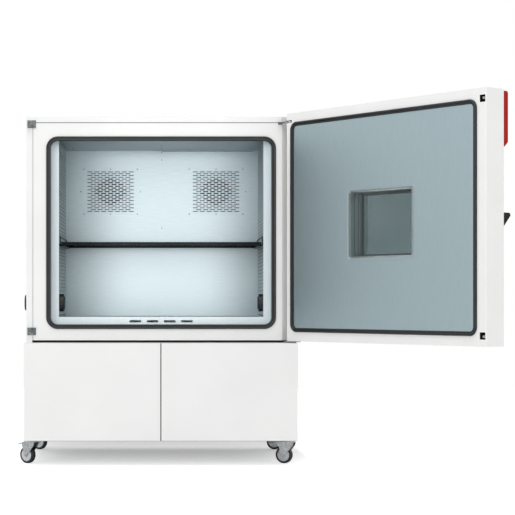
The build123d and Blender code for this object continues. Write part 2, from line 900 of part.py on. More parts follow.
def make_latch_rod(name):
    """A rod in the door's free edge with a tongue that snaps past the striker's nose."""
    z, end = latch_places()[name]
    centre = handle_top - handle_pivot_radius
    start = centre + end * 6
    tongue_near = z - end * (latch_overlap - latch_gap)
    tongue_far = tongue_near + end * tongue_height
    rod_end = tongue_near + end * tongue_height / 2
    rod = rod_z(latch_x, rod_y_place, rod_radius, min(start, rod_end), max(start, rod_end))
    tongue = block(latch_x - tongue_width / 2, latch_x + tongue_width / 2,
                   rod_y_place - rod_radius - tongue_wrap, -door_gap - 10, tongue_near, tongue_far)
    return rod + tongue


def make_strikers():
    """Two plates on the casing's left fold, each with a nose that enters the door."""
    strikers = []
    for z, end in latch_places().values():
        plate = block(latch_x - striker_plate_width / 2 + 7, latch_x + striker_plate_width / 2 + 7,
                      -striker_plate_thickness, 0, z - striker_plate_height / 2,
                      z + striker_plate_height / 2)
        near = z - end * latch_overlap
        far = near - end * striker_nose_height
        profile = polygon([
            (0, near), (-striker_reach + 12, near), (-striker_reach, near - end * 6),
            (-striker_reach, far), (0, far),
        ])
        nose = side_slab(profile, latch_x - striker_nose_width / 2, latch_x + striker_nose_width / 2)
        strikers.append(plate + nose)
    return group(*strikers)


# Hinges

def eye_plate(start_x, width, z0, z1, radius):
    """A flat bar from start_x to a round eye on the hinge axis."""
    shape = Pos(hinge_x, hinge_y) * Circle(hinge_eye)
    middle = (start_x + hinge_x) / 2
    shape = shape + Pos(middle, hinge_y) * Rectangle(abs(hinge_x - start_x), width)
    return plan_slab(shape - Pos(hinge_x, hinge_y) * Circle(radius), z0, z1)


def make_hinge_brackets():
    """The fixed plates with their pins: one high on the casing's front, one on the deck."""
    left = hinge_x - hinge_bracket_reach
    right = hinge_x + hinge_eye
    eye = Pos(hinge_x, hinge_y) * Circle(hinge_eye)
    arm = Pos((left + right) / 2, hinge_y / 2) * Rectangle(right - left, abs(hinge_y))
    upper = plan_slab(eye + arm, hinge_level - hinge_plate, hinge_level)
    upper = upper + block(left, corner_x, -hinge_plate, 0, hinge_level - hinge_wing, hinge_level)
    upper = upper + rod_z(hinge_x, hinge_y, hinge_pin_radius, hinge_level - 2 * hinge_plate - 2 * hinge_play,
                          hinge_level)
    upper = upper + rod_z(hinge_x, hinge_y, hinge_pin_radius + hinge_pin_head, hinge_level,
                          hinge_level + hinge_pin_head)
    left = hinge_x - hinge_bracket_reach / 2
    right = half_width - seat_gap
    back = -hinge_y
    foot = Pos((left + right) / 2, (hinge_y + back) / 2) * Rectangle(right - left, back - hinge_y)
    lower = plan_slab(eye + foot, deck_height, deck_height + hinge_plate)
    lower = lower + rod_z(hinge_x, hinge_y, hinge_pin_radius, deck_height,
                          door_bottom + 2 * hinge_play)
    return group(upper, lower)


def make_hinge_arms():
    """The plates on the door: one on the floor of the corner pocket, one under the door."""
    level = hinge_level - hinge_plate - hinge_play
    bore = hinge_pin_radius + running_clearance + bush_wall
    upper = eye_plate(hinge_x - hinge_bracket_reach - pocket_clearance, 2 * hinge_axis_front,
                      level - hinge_plate, level, bore)
    lower = eye_plate(hinge_x - hinge_arm, hinge_arm_width, door_bottom - hinge_plate, door_bottom, bore)
    return group(upper, lower)


def make_hinge_bushes():
    level = hinge_level - hinge_plate - hinge_play
    bore = hinge_pin_radius + running_clearance
    shape = Pos(hinge_x, hinge_y) * (Circle(bore + bush_wall) - Circle(bore))
    return group(plan_slab(shape, level - hinge_plate, level),
                 plan_slab(shape, door_bottom - hinge_plate, door_bottom))


# Lower housing

def make_base_frame():
    """A welded frame of square tube, open below, with a floor tray on it."""
    edge = half_width - sheet - seat_gap
    front = door_outer + sheet + seat_gap
    back = casing_depth - sheet - seat_gap
    outline = Pos(0, (front + back) / 2) * Rectangle(2 * edge, back - front)
    opening = Pos(0, (front + back) / 2) * Rectangle(
        2 * (edge - base_rail_width), back - front - 2 * base_rail_width)
    top = base_height + base_rail_height
    frame = plan_slab(outline - opening, base_height, top) + plan_slab(outline, top, tray_top)
    for x, y in caster_places.values():
        side = 1 if x > 0 else -1
        pad = block(x - side * (caster_plate_length / 2 + 8), side * edge, y - caster_plate_length / 2,
                    y + caster_plate_length / 2, base_height, base_height + pad_thickness)
        frame = frame + pad
    return frame


def make_lower_hood():
    """One sheet bent over the machine space: two sides and the deck."""
    line = [(half_width, base_height + 2), (half_width, deck_height), (-half_width, deck_height),
            (-half_width, base_height + 2)]
    return front_slab(folded(line, sheet), door_outer + sheet + seat_gap, casing_depth - sheet - seat_gap)


def make_service_panel(side):
    """A plain front panel with stiffening folds behind its edges."""
    x0, x1 = sorted((side * panel_split / 2, side * half_width))
    z0, z1 = base_height + 2, deck_height - seat_gap
    panel = block(x0, x1, door_outer, door_outer + sheet, z0, z1)
    inset = sheet + seat_gap
    folds = block(x0 + inset, x1 - inset, door_outer + sheet, door_outer + panel_return,
                  z0 + base_rail_height + 6, z1 - inset)
    folds = folds - block(x0 + inset + sheet, x1 - inset - sheet, door_outer + sheet - 1,
                          door_outer + panel_return + 1, z0 + base_rail_height + 6 + sheet,
                          z1 - inset - sheet)
    return panel + folds


def make_lower_rear_panel():
    """The rear sheet with two banks of air slots and the gland of the mains lead."""
    y0, y1 = casing_depth - sheet, casing_depth
    z0, z1 = base_height + 2, deck_height - seat_gap
    panel = block(-half_width, half_width, y0, y1, z0, z1)
    middle = (z0 + z1) / 2
    slots = []
    for side in (-1, 1):
        for i in range(louvre_count):
            z = middle + (i - (louvre_count - 1) / 2) * louvre_pitch
            x = side * (louvre_width / 2 + 40)
            slots.append(front_slab(Pos(x, z) * Rectangle(louvre_width, louvre_height), y0 - 1, y1 + 1))
    panel = panel - slots
    x = half_width - gland_from_side
    z = z0 + gland_from_bottom
    gland = rod_y(x, z, gland_radius, y1, y1 + gland_length)
    nut = front_slab(Pos(x, z) * RegularPolygon(gland_radius + gland_nut, 6), y1, y1 + gland_nut_thickness)
    return panel + gland + nut


def make_compressor(x):
    """A hermetic compressor: a domed pot with its weld seam, standing on a foot plate."""
    seam_z = compressor_height * compressor_seam_level
    reach = compressor_radius + compressor_seam
    pot = revolve(Plane.XZ * polygon([
        (0, 0), (compressor_radius, 0), (compressor_radius, seam_z), (reach, seam_z),
        (reach, seam_z + 1.5 * compressor_seam), (compressor_radius, seam_z + 1.5 * compressor_seam),
        (compressor_radius, compressor_height - compressor_dome),
        (compressor_radius - compressor_dome * 0.3, compressor_height - compressor_dome * 0.3),
        (compressor_radius - compressor_dome, compressor_height), (0, compressor_height),
    ]), Axis.Z)
    side = 2.3 * compressor_radius
    foot = plan_slab(RectangleRounded(side, side, 20), -compressor_foot, 0)
    return Pos(x, compressor_place_y, tray_top + seat_gap + compressor_foot) * (pot + foot)


def make_refrigeration_set():
    """Two compressors, and the finned condenser behind the rear slots."""
    level = tray_top + seat_gap
    back = casing_depth - sheet - condenser_rear_gap
    condenser = block(-condenser_width / 2, condenser_width / 2, back - condenser_depth, back, level,
                      level + condenser_height)
    return group(make_compressor(-compressor_spacing / 2), make_compressor(compressor_spacing / 2), condenser)


def make_control_box():
    level = tray_top + seat_gap
    left = -half_width + control_box_side_gap
    return block(left, left + control_box_width, control_box_place_y,
                 control_box_place_y + control_box_depth, level, level + control_box_height)


# Casters, each drawn about its swivel axis with the wheel behind it along +X

def caster_at(name, shape):
    x, y = caster_places[name]
    return Pos(x, y, 0) * Rot(0, 0, caster_headings[name]) * shape


def make_caster_plates():
    """Each mounting plate carries the kingpin that its fork turns on."""
    top = base_height
    below = top - caster_plate_thickness
    plates = []
    for x, y in caster_places.values():
        plate = Pos(x, y) * RectangleRounded(caster_plate_width, caster_plate_length, 8)
        plates.append(plan_slab(plate, below, top)
                      + rod_z(x, y, kingpin_radius, below - swivel_height / 2, below + 1))
    return group(*plates)


def pedal_pivot():
    return caster_trail + 20, crown_height - fork_sheet - pedal_eye - 1.5


def make_caster_fork(braked):
    """A pressed fork: a round head, a crown and two tapering legs that hold the axle."""
    head = rod_z(0, 0, swivel_radius, crown_height, crown_height + swivel_height)
    head = head - rod_z(0, 0, kingpin_radius + running_clearance, crown_height + swivel_height / 2 - 1,
                        crown_height + swivel_height + 1)
    inner = wheel_width / 2 + fork_gap
    outer = inner + fork_sheet
    foot = wheel_radius - 12
    leg = polygon([
        (-30, crown_height), (caster_trail + 20, crown_height), (caster_trail + 30, crown_height - 8),
        (caster_trail + 13, wheel_radius - 2), (caster_trail + 6, foot), (caster_trail - 6, foot),
        (caster_trail - 13, wheel_radius - 2), (-26, crown_height - 20),
    ])
    fork = head + front_slab(leg, inner, outer) + front_slab(leg, -outer, -inner)
    fork = fork + block(-30, caster_trail + 20, -outer, outer, crown_height - fork_sheet, crown_height)
    fork = fork + rod_y(caster_trail, wheel_radius, axle_radius, -outer - 4, outer + 4)
    if braked:
        x, z = pedal_pivot()
        fork = fork + rod_y(x, z, pedal_pin_radius, -inner - 1, inner + 1)
    return fork


def make_caster_wheel():
    """A tyre with bevelled edges on a wheel centre that is dished each side."""
    half = wheel_width / 2
    side = [
        (axle_radius + running_clearance, half), (hub_face, half),
        (wheel_radius - tyre_depth, half - wheel_dish), (wheel_radius - tyre_bevel, half),
        (wheel_radius, half - tyre_bevel),
    ]
    profile = polygon(side + [(radius, -along) for radius, along in side[::-1]])
    return Pos(caster_trail, 0, wheel_radius) * revolve(profile, Axis.Y)


def make_brake_pedal():
    """A stamped pedal on its pin between the fork's legs, with the shoe that it presses on the tyre."""
    x, z = pedal_pivot()
    tip = x + pedal_length
    arm = polygon([
        (x, z + pedal_eye), (x + 26, z + 2), (tip - 17, z - 6), (tip, z - 8.5), (tip, z - 12),
        (tip - 18, z - 9.5), (x + 24, z - 2), (x, z - 2),
    ])
    shoe = polygon([(x + 9, z - 19), (x + 17, z - 19), (x + 17, z), (x + 9, z)])
    shape = arm + shoe + Pos(x, z) * Circle(pedal_eye) - Pos(x, z) * Circle(
        pedal_pin_radius + running_clearance)
    return front_slab(shape, -pedal_width / 2, pedal_width / 2)


pieces = {
    "casing_side_left": make_casing_side_left(),
    "casing_side_right": make_casing_side_right(),
    "casing_lid": make_casing_lid(),
    "casing_back": make_casing_back(),
    "casing_floor": make_casing_floor(),
    "front_frame": make_front_frame(),
    "cabinet_seal": make_cabinet_seal(),
    "insulation": make_insulation(),
    "chamber_liner": make_chamber_liner(),
    "air_collar": make_air_collar(),
    "chamber_floor": make_chamber_floor(),
    "side_baffle_left": make_side_baffle(-1),
    "side_baffle_right": make_side_baffle(1),
    "rear_wall": make_rear_wall(),
    "fan_grilles": make_fan_grilles(),
    "fan_inlet_rings": make_inlet_rings(),
    "fan_motors": make_fan_motors(),
    "evaporator_and_heater": group(make_evaporator(), make_heater()),
    "shelf_rails": make_shelf_rails(),
    "shelf": make_shelf(),
    "port_sleeves": make_port_sleeves(),
    "port_plug_left": make_port_plug(-1),
    "port_plug_right": make_port_plug(1),
    "strikers": make_strikers(),
    "hinge_brackets": make_hinge_brackets(),
    "base_frame": make_base_frame(),
    "lower_hood": make_lower_hood(),
    "service_panel_left": make_service_panel(-1),
    "service_panel_right": make_service_panel(1),
    "lower_rear_panel": make_lower_rear_panel(),
    "refrigeration_set": make_refrigeration_set(),
    "control_box": make_control_box(),
    "caster_plates": make_caster_plates(),
}
for name, x in fan_places.items():
    pieces["fan_impeller_" + name] = make_fan(x)

door_pieces = {
    "door_shell": make_door_shell(),
    "door_liner": make_door_liner(),
    "door_core": make_door_core(),
    "door_seal": make_door_seal(),
    "window_panes": make_window_panes(),
    "window_spacers": make_window_spacers(),
    "instrument_panel": make_instrument_panel(),
    "display": make_display(),
    "power_switch": make_power_switch(),
    "handle_bracket": make_handle_bracket(),
    "handle_lever": make_handle_lever(),
    "latch_rod_top": make_latch_rod("top"),
    "latch_rod_bottom": make_latch_rod("bottom"),
    "hinge_arms": make_hinge_arms(),
    "hinge_bushes": make_hinge_bushes(),
}
for name, shape in door_pieces.items():
    pieces[name] = swung(shape)

for name in caster_places:
    braked = name.startswith("front")
    pieces["caster_fork_" + name] = caster_at(name, make_caster_fork(braked))
    pieces["caster_wheel_" + name] = caster_at(name, make_caster_wheel())
    if braked:
        pieces["brake_pedal_" + name] = caster_at(name, make_brake_pedal())

boxes = [shape.bounding_box() for shape in pieces.values()]
centre_x = (min(box.min.X for box in boxes) + max(box.max.X for box in boxes)) / 2
centre_y = (min(box.min.Y for box in boxes) + max(box.max.Y for box in boxes)) / 2
origin = (centre_x, centre_y, 0.0)

os.makedirs("parts", exist_ok=True)
for name, shape in pieces.items():
    placed = Pos(-origin[0], -origin[1], -origin[2]) * shape
    export_step(placed, "parts/" + name + ".step")
print("origin at", [round(value, 3) for value in origin], "pieces", len(pieces))
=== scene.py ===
# Environmental test chamber with its door open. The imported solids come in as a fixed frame;
# this script dresses them, and makes the seals, grilles, wheels, screws and trim itself.
import json
import math

import bmesh
import bpy
from mathutils import Matrix, Vector


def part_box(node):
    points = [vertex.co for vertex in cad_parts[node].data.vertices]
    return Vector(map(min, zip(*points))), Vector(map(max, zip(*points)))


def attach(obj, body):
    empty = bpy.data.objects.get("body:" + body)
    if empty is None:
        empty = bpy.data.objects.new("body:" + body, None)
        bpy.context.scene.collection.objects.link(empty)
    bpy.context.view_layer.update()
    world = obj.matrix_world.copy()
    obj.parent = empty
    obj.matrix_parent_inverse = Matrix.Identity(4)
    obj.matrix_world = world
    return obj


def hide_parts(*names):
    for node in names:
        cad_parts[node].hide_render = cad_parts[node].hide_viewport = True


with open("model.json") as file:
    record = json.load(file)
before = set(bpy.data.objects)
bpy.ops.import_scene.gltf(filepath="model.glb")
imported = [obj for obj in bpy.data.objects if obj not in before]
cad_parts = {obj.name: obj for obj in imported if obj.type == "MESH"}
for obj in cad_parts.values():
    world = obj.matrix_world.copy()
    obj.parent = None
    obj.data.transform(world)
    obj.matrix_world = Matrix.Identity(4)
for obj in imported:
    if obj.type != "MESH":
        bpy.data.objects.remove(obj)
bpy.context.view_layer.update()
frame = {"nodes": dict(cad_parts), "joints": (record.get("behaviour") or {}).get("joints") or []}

nodes = frame["nodes"]
jointByName = {joint["name"]: joint for joint in frame["joints"]}

# The cabinet's own origin: its middle from side to side, its front face, the floor
lidLow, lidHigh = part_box("casing_lid")
cabinetOrigin = Vector(((lidLow.x + lidHigh.x) / 2, lidLow.y, 0))
doorHinge = jointByName["door_hinge"]
hingePlace = Vector(doorHinge["pos_m"])
openAngle = math.radians(-doorHinge["range_deg"][0])

photoFrame = {
    "width": 515,  # pixels, square
    "focalPixels": 1612,
    "axisX": 173,  # the pixel that the lens looks straight at
    "axisY": 300,
    "camera": (69.5, -9400, 955),  # mm from the cabinet's own origin
    "sensor": 36,
    "farEnd": 100,  # m
}


def millimetres(x, y, z):
    return cabinetOrigin + Vector((x, y, z)) / 1000


def onDoor(x, y, z):  # a place on the closed door, carried to where the door stands
    turn = Matrix.Rotation(openAngle, 3, "Z")
    return hingePlace + turn @ (millimetres(x, y, z) - hingePlace)


def throughPixel(px, py, depth):  # the place at this depth behind the casing's front that a pixel shows
    cameraX, cameraY, cameraZ = photoFrame["camera"]
    reach = (depth - cameraY) / photoFrame["focalPixels"]
    return (cameraX + (px - photoFrame["axisX"]) * reach, depth,
            cameraZ - (py - photoFrame["axisY"]) * reach)


# Camera
cameraData = bpy.data.cameras.new("camera")
cameraData.sensor_width = photoFrame["sensor"]
cameraData.lens = photoFrame["focalPixels"] / photoFrame["width"] * photoFrame["sensor"]
cameraData.shift_x = 0.5 - photoFrame["axisX"] / photoFrame["width"]
cameraData.shift_y = photoFrame["axisY"] / photoFrame["width"] - 0.5
cameraData.clip_end = photoFrame["farEnd"]
camera = bpy.data.objects.new("camera", cameraData)
camera.location = millimetres(*photoFrame["camera"])
camera.rotation_euler = (math.radians(90), 0, 0)
bpy.context.scene.collection.objects.link(camera)
bpy.context.scene.camera = camera
print("camera placed")


# Materials

def toLinear(hexColor):
    values = [int(hexColor[i:i + 2], 16) / 255 for i in (1, 3, 5)]
    return [v / 12.92 if v <= 0.04045 else ((v + 0.055) / 1.055) ** 2.4 for v in values] + [1]


def addNode(tree, kind, settings=None, **links):
    node = tree.nodes.new(kind)
    for key, value in (settings or {}).items():
        if isinstance(key, str) and hasattr(node, key):
            setattr(node, key, value)
        else:
            node.inputs[key].default_value = value
    for key, source in links.items():
        tree.links.new(source, node.inputs[key.replace("_", " ")])
    return node


def newMaterial(name, color, metallic=0.0, roughness=0.5, **shader):
    material = bpy.data.materials.new(name)
    material.use_nodes = True
    tree = material.node_tree
    principled = tree.nodes["Principled BSDF"]
    principled.inputs["Base Color"].default_value = toLinear(color)
    principled.inputs["Metallic"].default_value = metallic
    principled.inputs["Roughness"].default_value = roughness
    for key, value in shader.items():
        principled.inputs[key.replace("_", " ")].default_value = value
    return material, tree, principled


def objectPattern(tree, scale, detail=2.0, stretch=(1, 1, 1), kind="ShaderNodeTexNoise"):
    place = addNode(tree, "ShaderNodeTexCoord")
    mapping = addNode(tree, "ShaderNodeMapping", {"Scale": stretch}, Vector=place.outputs["Object"])
    settings = {"Scale": scale, "Detail": detail} if kind == "ShaderNodeTexNoise" else {"Scale": scale}
    return addNode(tree, kind, settings, Vector=mapping.outputs["Vector"])


def varied(tree, source, low, high):  # a pattern's 0.3 to 0.7 spread over a range of values
    return addNode(tree, "ShaderNodeMapRange", {1: 0.3, 2: 0.7, 3: low, 4: high}, Value=source).outputs[0]


def tinted(tree, source, darkColor, lightColor):
    ramp = addNode(tree, "ShaderNodeValToRGB", Fac=source)
    ramp.color_ramp.elements[0].position = 0.3
    ramp.color_ramp.elements[1].position = 0.7
    ramp.color_ramp.elements[0].color = toLinear(darkColor)
    ramp.color_ramp.elements[1].color = toLinear(lightColor)
    return ramp.outputs["Color"]


def bumped(tree, principled, source, heightMm, strength=1.0):
    bump = addNode(tree, "ShaderNodeBump", {"Distance": heightMm / 1000, "Strength": strength}, Height=source)
    tree.links.new(bump.outputs["Normal"], principled.inputs["Normal"])


def powderCoat(name, darkColor, lightColor, roughness=0.42):
    # Powder coat, sprayed and baked: a faint orange peel of 2 mm and a soft sheen
    material, tree, principled = newMaterial(name, lightColor, roughness=roughness)
    clouds = objectPattern(tree, 3.0)
    shade = tinted(tree, clouds.outputs["Fac"], darkColor, lightColor)
    tree.links.new(shade, principled.inputs["Base Color"])
    peel = objectPattern(tree, 500.0, 1.0)
    tree.links.new(varied(tree, peel.outputs["Fac"], roughness - 0.04, roughness + 0.04),
                   principled.inputs["Roughness"])
    bumped(tree, principled, peel.outputs["Fac"], 0.02, 0.35)
    return material


def brushedSteel(name, darkColor, lightColor, roughness, grain=(1, 1, 60), grainScale=14.0):
    # Stainless sheet, ground along one way: long fine scratches, drawn a few mm apart so that they show
    material, tree, principled = newMaterial(name, lightColor, metallic=1.0, roughness=roughness)
    lines = objectPattern(tree, grainScale, 4.0, grain)
    tree.links.new(tinted(tree, lines.outputs["Fac"], darkColor, lightColor), principled.inputs["Base Color"])
    tree.links.new(varied(tree, lines.outputs["Fac"], roughness - 0.05, roughness + 0.05),
                   principled.inputs["Roughness"])
    bumped(tree, principled, lines.outputs["Fac"], 0.02, 0.12)
    return material


def zincPlate(name, darkColor, lightColor, roughness=0.36):
    # Zinc-plated steel: crystals of about 6 mm, a little brighter or duller from one to the next
    material, tree, principled = newMaterial(name, lightColor, metallic=1.0, roughness=roughness)
    crystals = objectPattern(tree, 160.0, kind="ShaderNodeTexVoronoi")
    tree.links.new(tinted(tree, crystals.outputs["Distance"], darkColor, lightColor),
                   principled.inputs["Base Color"])
    bumped(tree, principled, crystals.outputs["Distance"], 0.03, 0.2)
    return material


def mouldedPlastic(name, darkColor, lightColor, roughness=0.45, grainMm=1.2, depthMm=0.04, sheen=0.5):
    # Moulded plastic or rubber with the fine grain of its mould
    material, tree, principled = newMaterial(name, lightColor, roughness=roughness, Specular_IOR_Level=sheen)
    grain = objectPattern(tree, 1000.0 / grainMm, 2.0)
    clouds = objectPattern(tree, 12.0)
    shade = tinted(tree, clouds.outputs["Fac"], darkColor, lightColor)
    tree.links.new(shade, principled.inputs["Base Color"])
    tree.links.new(varied(tree, grain.outputs["Fac"], roughness - 0.06, roughness + 0.06),
                   principled.inputs["Roughness"])
    bumped(tree, principled, grain.outputs["Fac"], depthMm, 0.5)
    return material


def clearGlass(name, color, coatColor, index):
    # Float glass: the inner panes have an anti-reflective coat, the outer pane is grey heat-absorbing glass
    material, tree, principled = newMaterial(name, color, roughness=0.0, Transmission_Weight=1.0, IOR=index)
    coat = objectPattern(tree, 3.0, 1.0)
    tree.links.new(tinted(tree, coat.outputs["Fac"], color, coatColor), principled.inputs["Base Color"])
    return material


finishes = {
    "enamel": powderCoat("whitePowderCoat", "#F0F0EF", "#F4F4F3"),
    # painted shade: the greyer enamel of the sheet over the bent-back right corner
    "cornerShadeEnamel": powderCoat("paintedShadePowderCoat", "#C9CBCC", "#D2D4D4"),
    "liner": brushedSteel("brushedStainlessLiner", "#98A6AA", "#AFBBBF", 0.34, (60, 1, 1)),
    "wall": brushedSteel("brushedStainlessWall", "#A2AFB3", "#B4C0C4", 0.36, (1, 60, 60)),
    "collar": brushedSteel("mattStainlessCollar", "#CBD5D8", "#DCE4E7", 0.45, (60, 1, 1)),
    "doorSteel": brushedSteel("brushedStainlessDoor", "#9DAFB4", "#ABBCC1", 0.42, (60, 60, 1)),
    "spacer": brushedSteel("brightSpacerBar", "#DDE4E6", "#F0F4F5", 0.4, (60, 60, 1)),
    # painted shade: the fans' steel is darkened for the shade of the duct behind the grilles
    "fanSteel": brushedSteel("shadedFanSteel", "#2A2E30", "#3A3F42", 0.4, (1, 1, 1)),
    # painted shade: the shelf's stainless wire is nearly black, as it is seen from below in shadow
    "rack": brushedSteel("shadedStainlessWire", "#16191A", "#222628", 0.3, (60, 1, 60)),
    "zinc": zincPlate("zincPlatedSteel", "#8E9294", "#B4B8BA"),
    "castZinc": zincPlate("nickelPlatedSteel", "#5A5E60", "#878B8D", 0.3),
    "fork": zincPlate("brightZincFork", "#9A9EA0", "#C2C5C7", 0.3),
    # painted shade: grey for the dark duct seen through the grille and baffle slots
    "slotShade": mouldedPlastic("paintedSlotShade", "#3A3F42", "#4A5053", 0.85, 1.0),
    # painted shade: dark and pale grey strips for the shade in the casing's seams
    "seamShadeDark": mouldedPlastic("paintedSeamShadeDark", "#3A3D3E", "#45484A", 0.5),
    "seamShadePale": mouldedPlastic("paintedSeamShadePale", "#C4C6C6", "#CDCFCF", 0.5),
    "aluminium": brushedSteel("spunAluminium", "#8C9294", "#A9AFB1", 0.4, (1, 1, 1)),
    "motor": powderCoat("blackEnamel", "#101112", "#17181A", 0.35),
    "sealRubber": mouldedPlastic("siliconeRubber", "#0B0D0E", "#15181A", 0.42, 1.5, 0.03),
    "tyre": mouldedPlastic("tyreRubber", "#1B1C1D", "#2A2B2C", 0.6, 1.0),
    "wheelCentre": mouldedPlastic("greyNylon", "#CDD0D1", "#DDE0E1", 0.4),
    "port": mouldedPlastic("blackAbs", "#141516", "#1E1F21", 0.42),
    "plug": mouldedPlastic("blackSilicone", "#121415", "#1D2021", 0.45),
    "red": mouldedPlastic("redAbs", "#9A0702", "#AE0A04", 0.55, sheen=0.2),
    "handle": mouldedPlastic("blackNylon", "#0A0B0B", "#121314", 0.55, sheen=0.2),
    "glass": clearGlass("coatedGlass", "#F0F5F5", "#F4F8F8", 1.2),
    "greyGlass": clearGlass("greyHeatGlass", "#6B777A", "#717D80", 1.45),
    "screen": newMaterial("blackGlass", "#08090B", roughness=0.08)[0],
    "foam": mouldedPlastic("rigidFoam", "#CDBF8D", "#DCCFA0", 0.9, 3.0, 0.3),
    "darkFoam": mouldedPlastic("blackRigidFoam", "#151617", "#1F2122", 0.9, 3.0, 0.3),
    "bronze": brushedSteel("bearingBronze", "#8A6A3C", "#A4824E", 0.35, (1, 1, 1)),
}

dressing = {
    "enamel": ["casing_side_left", "casing_side_right", "casing_lid", "casing_back", "front_frame",
               "lower_hood", "lower_rear_panel", "service_panel_left", "service_panel_right", "door_shell",
               "control_box"],
    "liner": ["chamber_liner", "side_baffle_left", "side_baffle_right"],
    "collar": ["air_collar"],
    "wall": ["rear_wall", "chamber_floor"],
    "doorSteel": ["door_liner"],
    "spacer": ["window_spacers"],
    "fanSteel": ["fan_inlet_rings", "fan_impeller_left", "fan_impeller_right"],
    "rack": ["shelf", "shelf_rails"],
    "zinc": ["casing_floor", "base_frame", "hinge_arms", "latch_rod_top", "latch_rod_bottom",
             "caster_plates"],
    "castZinc": ["strikers", "hinge_brackets"],
    "fork": ["caster_fork_front_left", "caster_fork_front_right", "caster_fork_rear_left",
             "caster_fork_rear_right", "brake_pedal_front_left", "brake_pedal_front_right"],
    "aluminium": ["evaporator_and_heater"],
    "motor": ["fan_motors", "refrigeration_set"],
    "port": ["port_sleeves"],
    "plug": ["port_plug_left", "port_plug_right"],
    "red": ["instrument_panel"],
    "handle": ["handle_lever", "handle_bracket", "power_switch"],
    "screen": ["display"],
    "foam": ["insulation"],
    "darkFoam": ["door_core"],
    "bronze": ["hinge_bushes"],
}


def dress(thing, finish):
    thing.data.materials.clear()
    thing.data.materials.append(finishes[finish])


for finish, names in dressing.items():
    for nodeName in names:
        dress(nodes[nodeName], finish)
print("materials made:", len(finishes))


# Mesh helpers

def finishMesh(name, bm, finish, body, replaced=(), smoothAngle=35):
    bmesh.ops.remove_doubles(bm, verts=bm.verts, dist=0.00001)
    bmesh.ops.recalc_face_normals(bm, faces=bm.faces)
    mesh = bpy.data.meshes.new(name)
    bm.to_mesh(mesh)
    bm.free()
    piece = bpy.data.objects.new(name, mesh)
    bpy.context.scene.collection.objects.link(piece)
    for polygon in mesh.polygons:
        polygon.use_smooth = True
    mesh.set_sharp_from_angle(angle=math.radians(smoothAngle))
    dress(piece, finish)
    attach(piece, body)
    if replaced:
        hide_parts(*replaced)
    return piece


def roundedPath(width, height, radius, steps=10):
    # Points of a rounded rectangle and the outward direction at each, all in its own flat frame
    points = []
    for turn, (sideX, sideY) in enumerate(((1, 1), (-1, 1), (-1, -1), (1, -1))):
        for i in range(steps + 1):
            angle = math.radians(90 * turn + 90 * i / steps)
            outward = (math.cos(angle), math.sin(angle))
            centre = (sideX * (width / 2 - radius), sideY * (height / 2 - radius))
            points.append(((centre[0] + radius * outward[0], centre[1] + radius * outward[1]), outward))
    return points


def sweepRing(bm, path, profile, place):
    # Each profile point is (how far inward, how far forward); place turns flat x, y, forward to the world
    rings = []
    for (x, y), (outX, outY) in path:
        rings.append([bm.verts.new(place(x - outX * inward, y - outY * inward, forward))
                      for inward, forward in profile])
    for here, there in zip(rings, rings[1:] + rings[:1]):
        for i in range(len(profile)):
            j = (i + 1) % len(profile)
            bm.faces.new((here[i], here[j], there[j], there[i]))


def lathe(bm, profile, place, segments=40):
    # Profile points are (radius, along the axis); place turns x, y, along to the world
    rings = []
    for radius, along in profile:
        if radius == 0:
            rings.append([bm.verts.new(place(0, 0, along))])
            continue
        rings.append([
            bm.verts.new(place(radius * math.cos(2 * math.pi * k / segments),
                               radius * math.sin(2 * math.pi * k / segments), along))
            for k in range(segments)
        ])
    for here, there in zip(rings, rings[1:]):
        for k in range(segments):
            corners = [here[k % len(here)], here[(k + 1) % len(here)],
                       there[(k + 1) % len(there)], there[k % len(there)]]
            corners = list(dict.fromkeys(corners))
            if len(corners) > 2:
                bm.faces.new(corners)


# Seals: a hollow double lip round the opening and a bulb round the door's inner face

cabinetSeal = {"band": 27.0, "radius": 69.0, "rise": 9.4, "groove": 2.8}
doorSeal = {"band": 24.0, "radius": 48.0, "rise": 11.8, "lip": 6.5}
outerPaneDepth = 0.012  # m, more than a pane and less than a pane and its gap


def makeCabinetSeal():
    low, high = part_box("cabinet_seal")
    size, middle = high - low, (low + high) / 2
    band, rise, groove = cabinetSeal["band"], cabinetSeal["rise"], cabinetSeal["groove"]
    profile = [(0, 0), (0, rise * 0.45), (1.5, rise * 0.82), (5.5, rise), (9.5, rise * 0.9),
               (band / 2, rise - groove), (band - 9.5, rise * 0.9), (band - 5.5, rise),
               (band - 1.5, rise * 0.82), (band, rise * 0.45), (band, 0)]

    def place(x, z, forward):
        return Vector((middle.x + x / 1000, high.y - forward / 1000, middle.z + z / 1000))

    bm = bmesh.new()
    path = roundedPath(size.x * 1000, size.z * 1000, cabinetSeal["radius"], 14)
    sweepRing(bm, path, profile, place)
    return finishMesh("cabinetSealRing", bm, "sealRubber", "cabinet", ["cabinet_seal"])


def doorFrameOf(node):
    # The node's extent on the closed door, in mm of the cabinet's own frame
    turn = Matrix.Rotation(-openAngle, 3, "Z")
    corners = [(hingePlace + turn @ (vertex.co - hingePlace) - cabinetOrigin) * 1000
               for vertex in nodes[node].data.vertices]
    low = Vector([min(c[i] for c in corners) for i in range(3)])
    high = Vector([max(c[i] for c in corners) for i in range(3)])
    return low, high


def makeDoorSeal():
    low, high = doorFrameOf("door_seal")
    size, middle = high - low, (low + high) / 2
    band, rise, lip = doorSeal["band"], doorSeal["rise"], doorSeal["lip"]
    profile = [(0, 0), (0, 4), (1.2, rise * 0.75), (4, rise * 0.95), (7.5, rise), (11, rise * 0.92),
               (13.5, rise * 0.66), (15.5, lip * 0.85), (18.5, lip), (21.5, lip * 0.9), (band, 1.5),
               (band, 0)]

    def place(x, z, forward):
        return onDoor(middle.x + x, low.y + forward, middle.z + z)

    bm = bmesh.new()
    sweepRing(bm, roundedPath(size.x, size.z, doorSeal["radius"], 14), profile, place)
    return finishMesh("doorSealRing", bm, "sealRubber", "door", ["door_seal"])


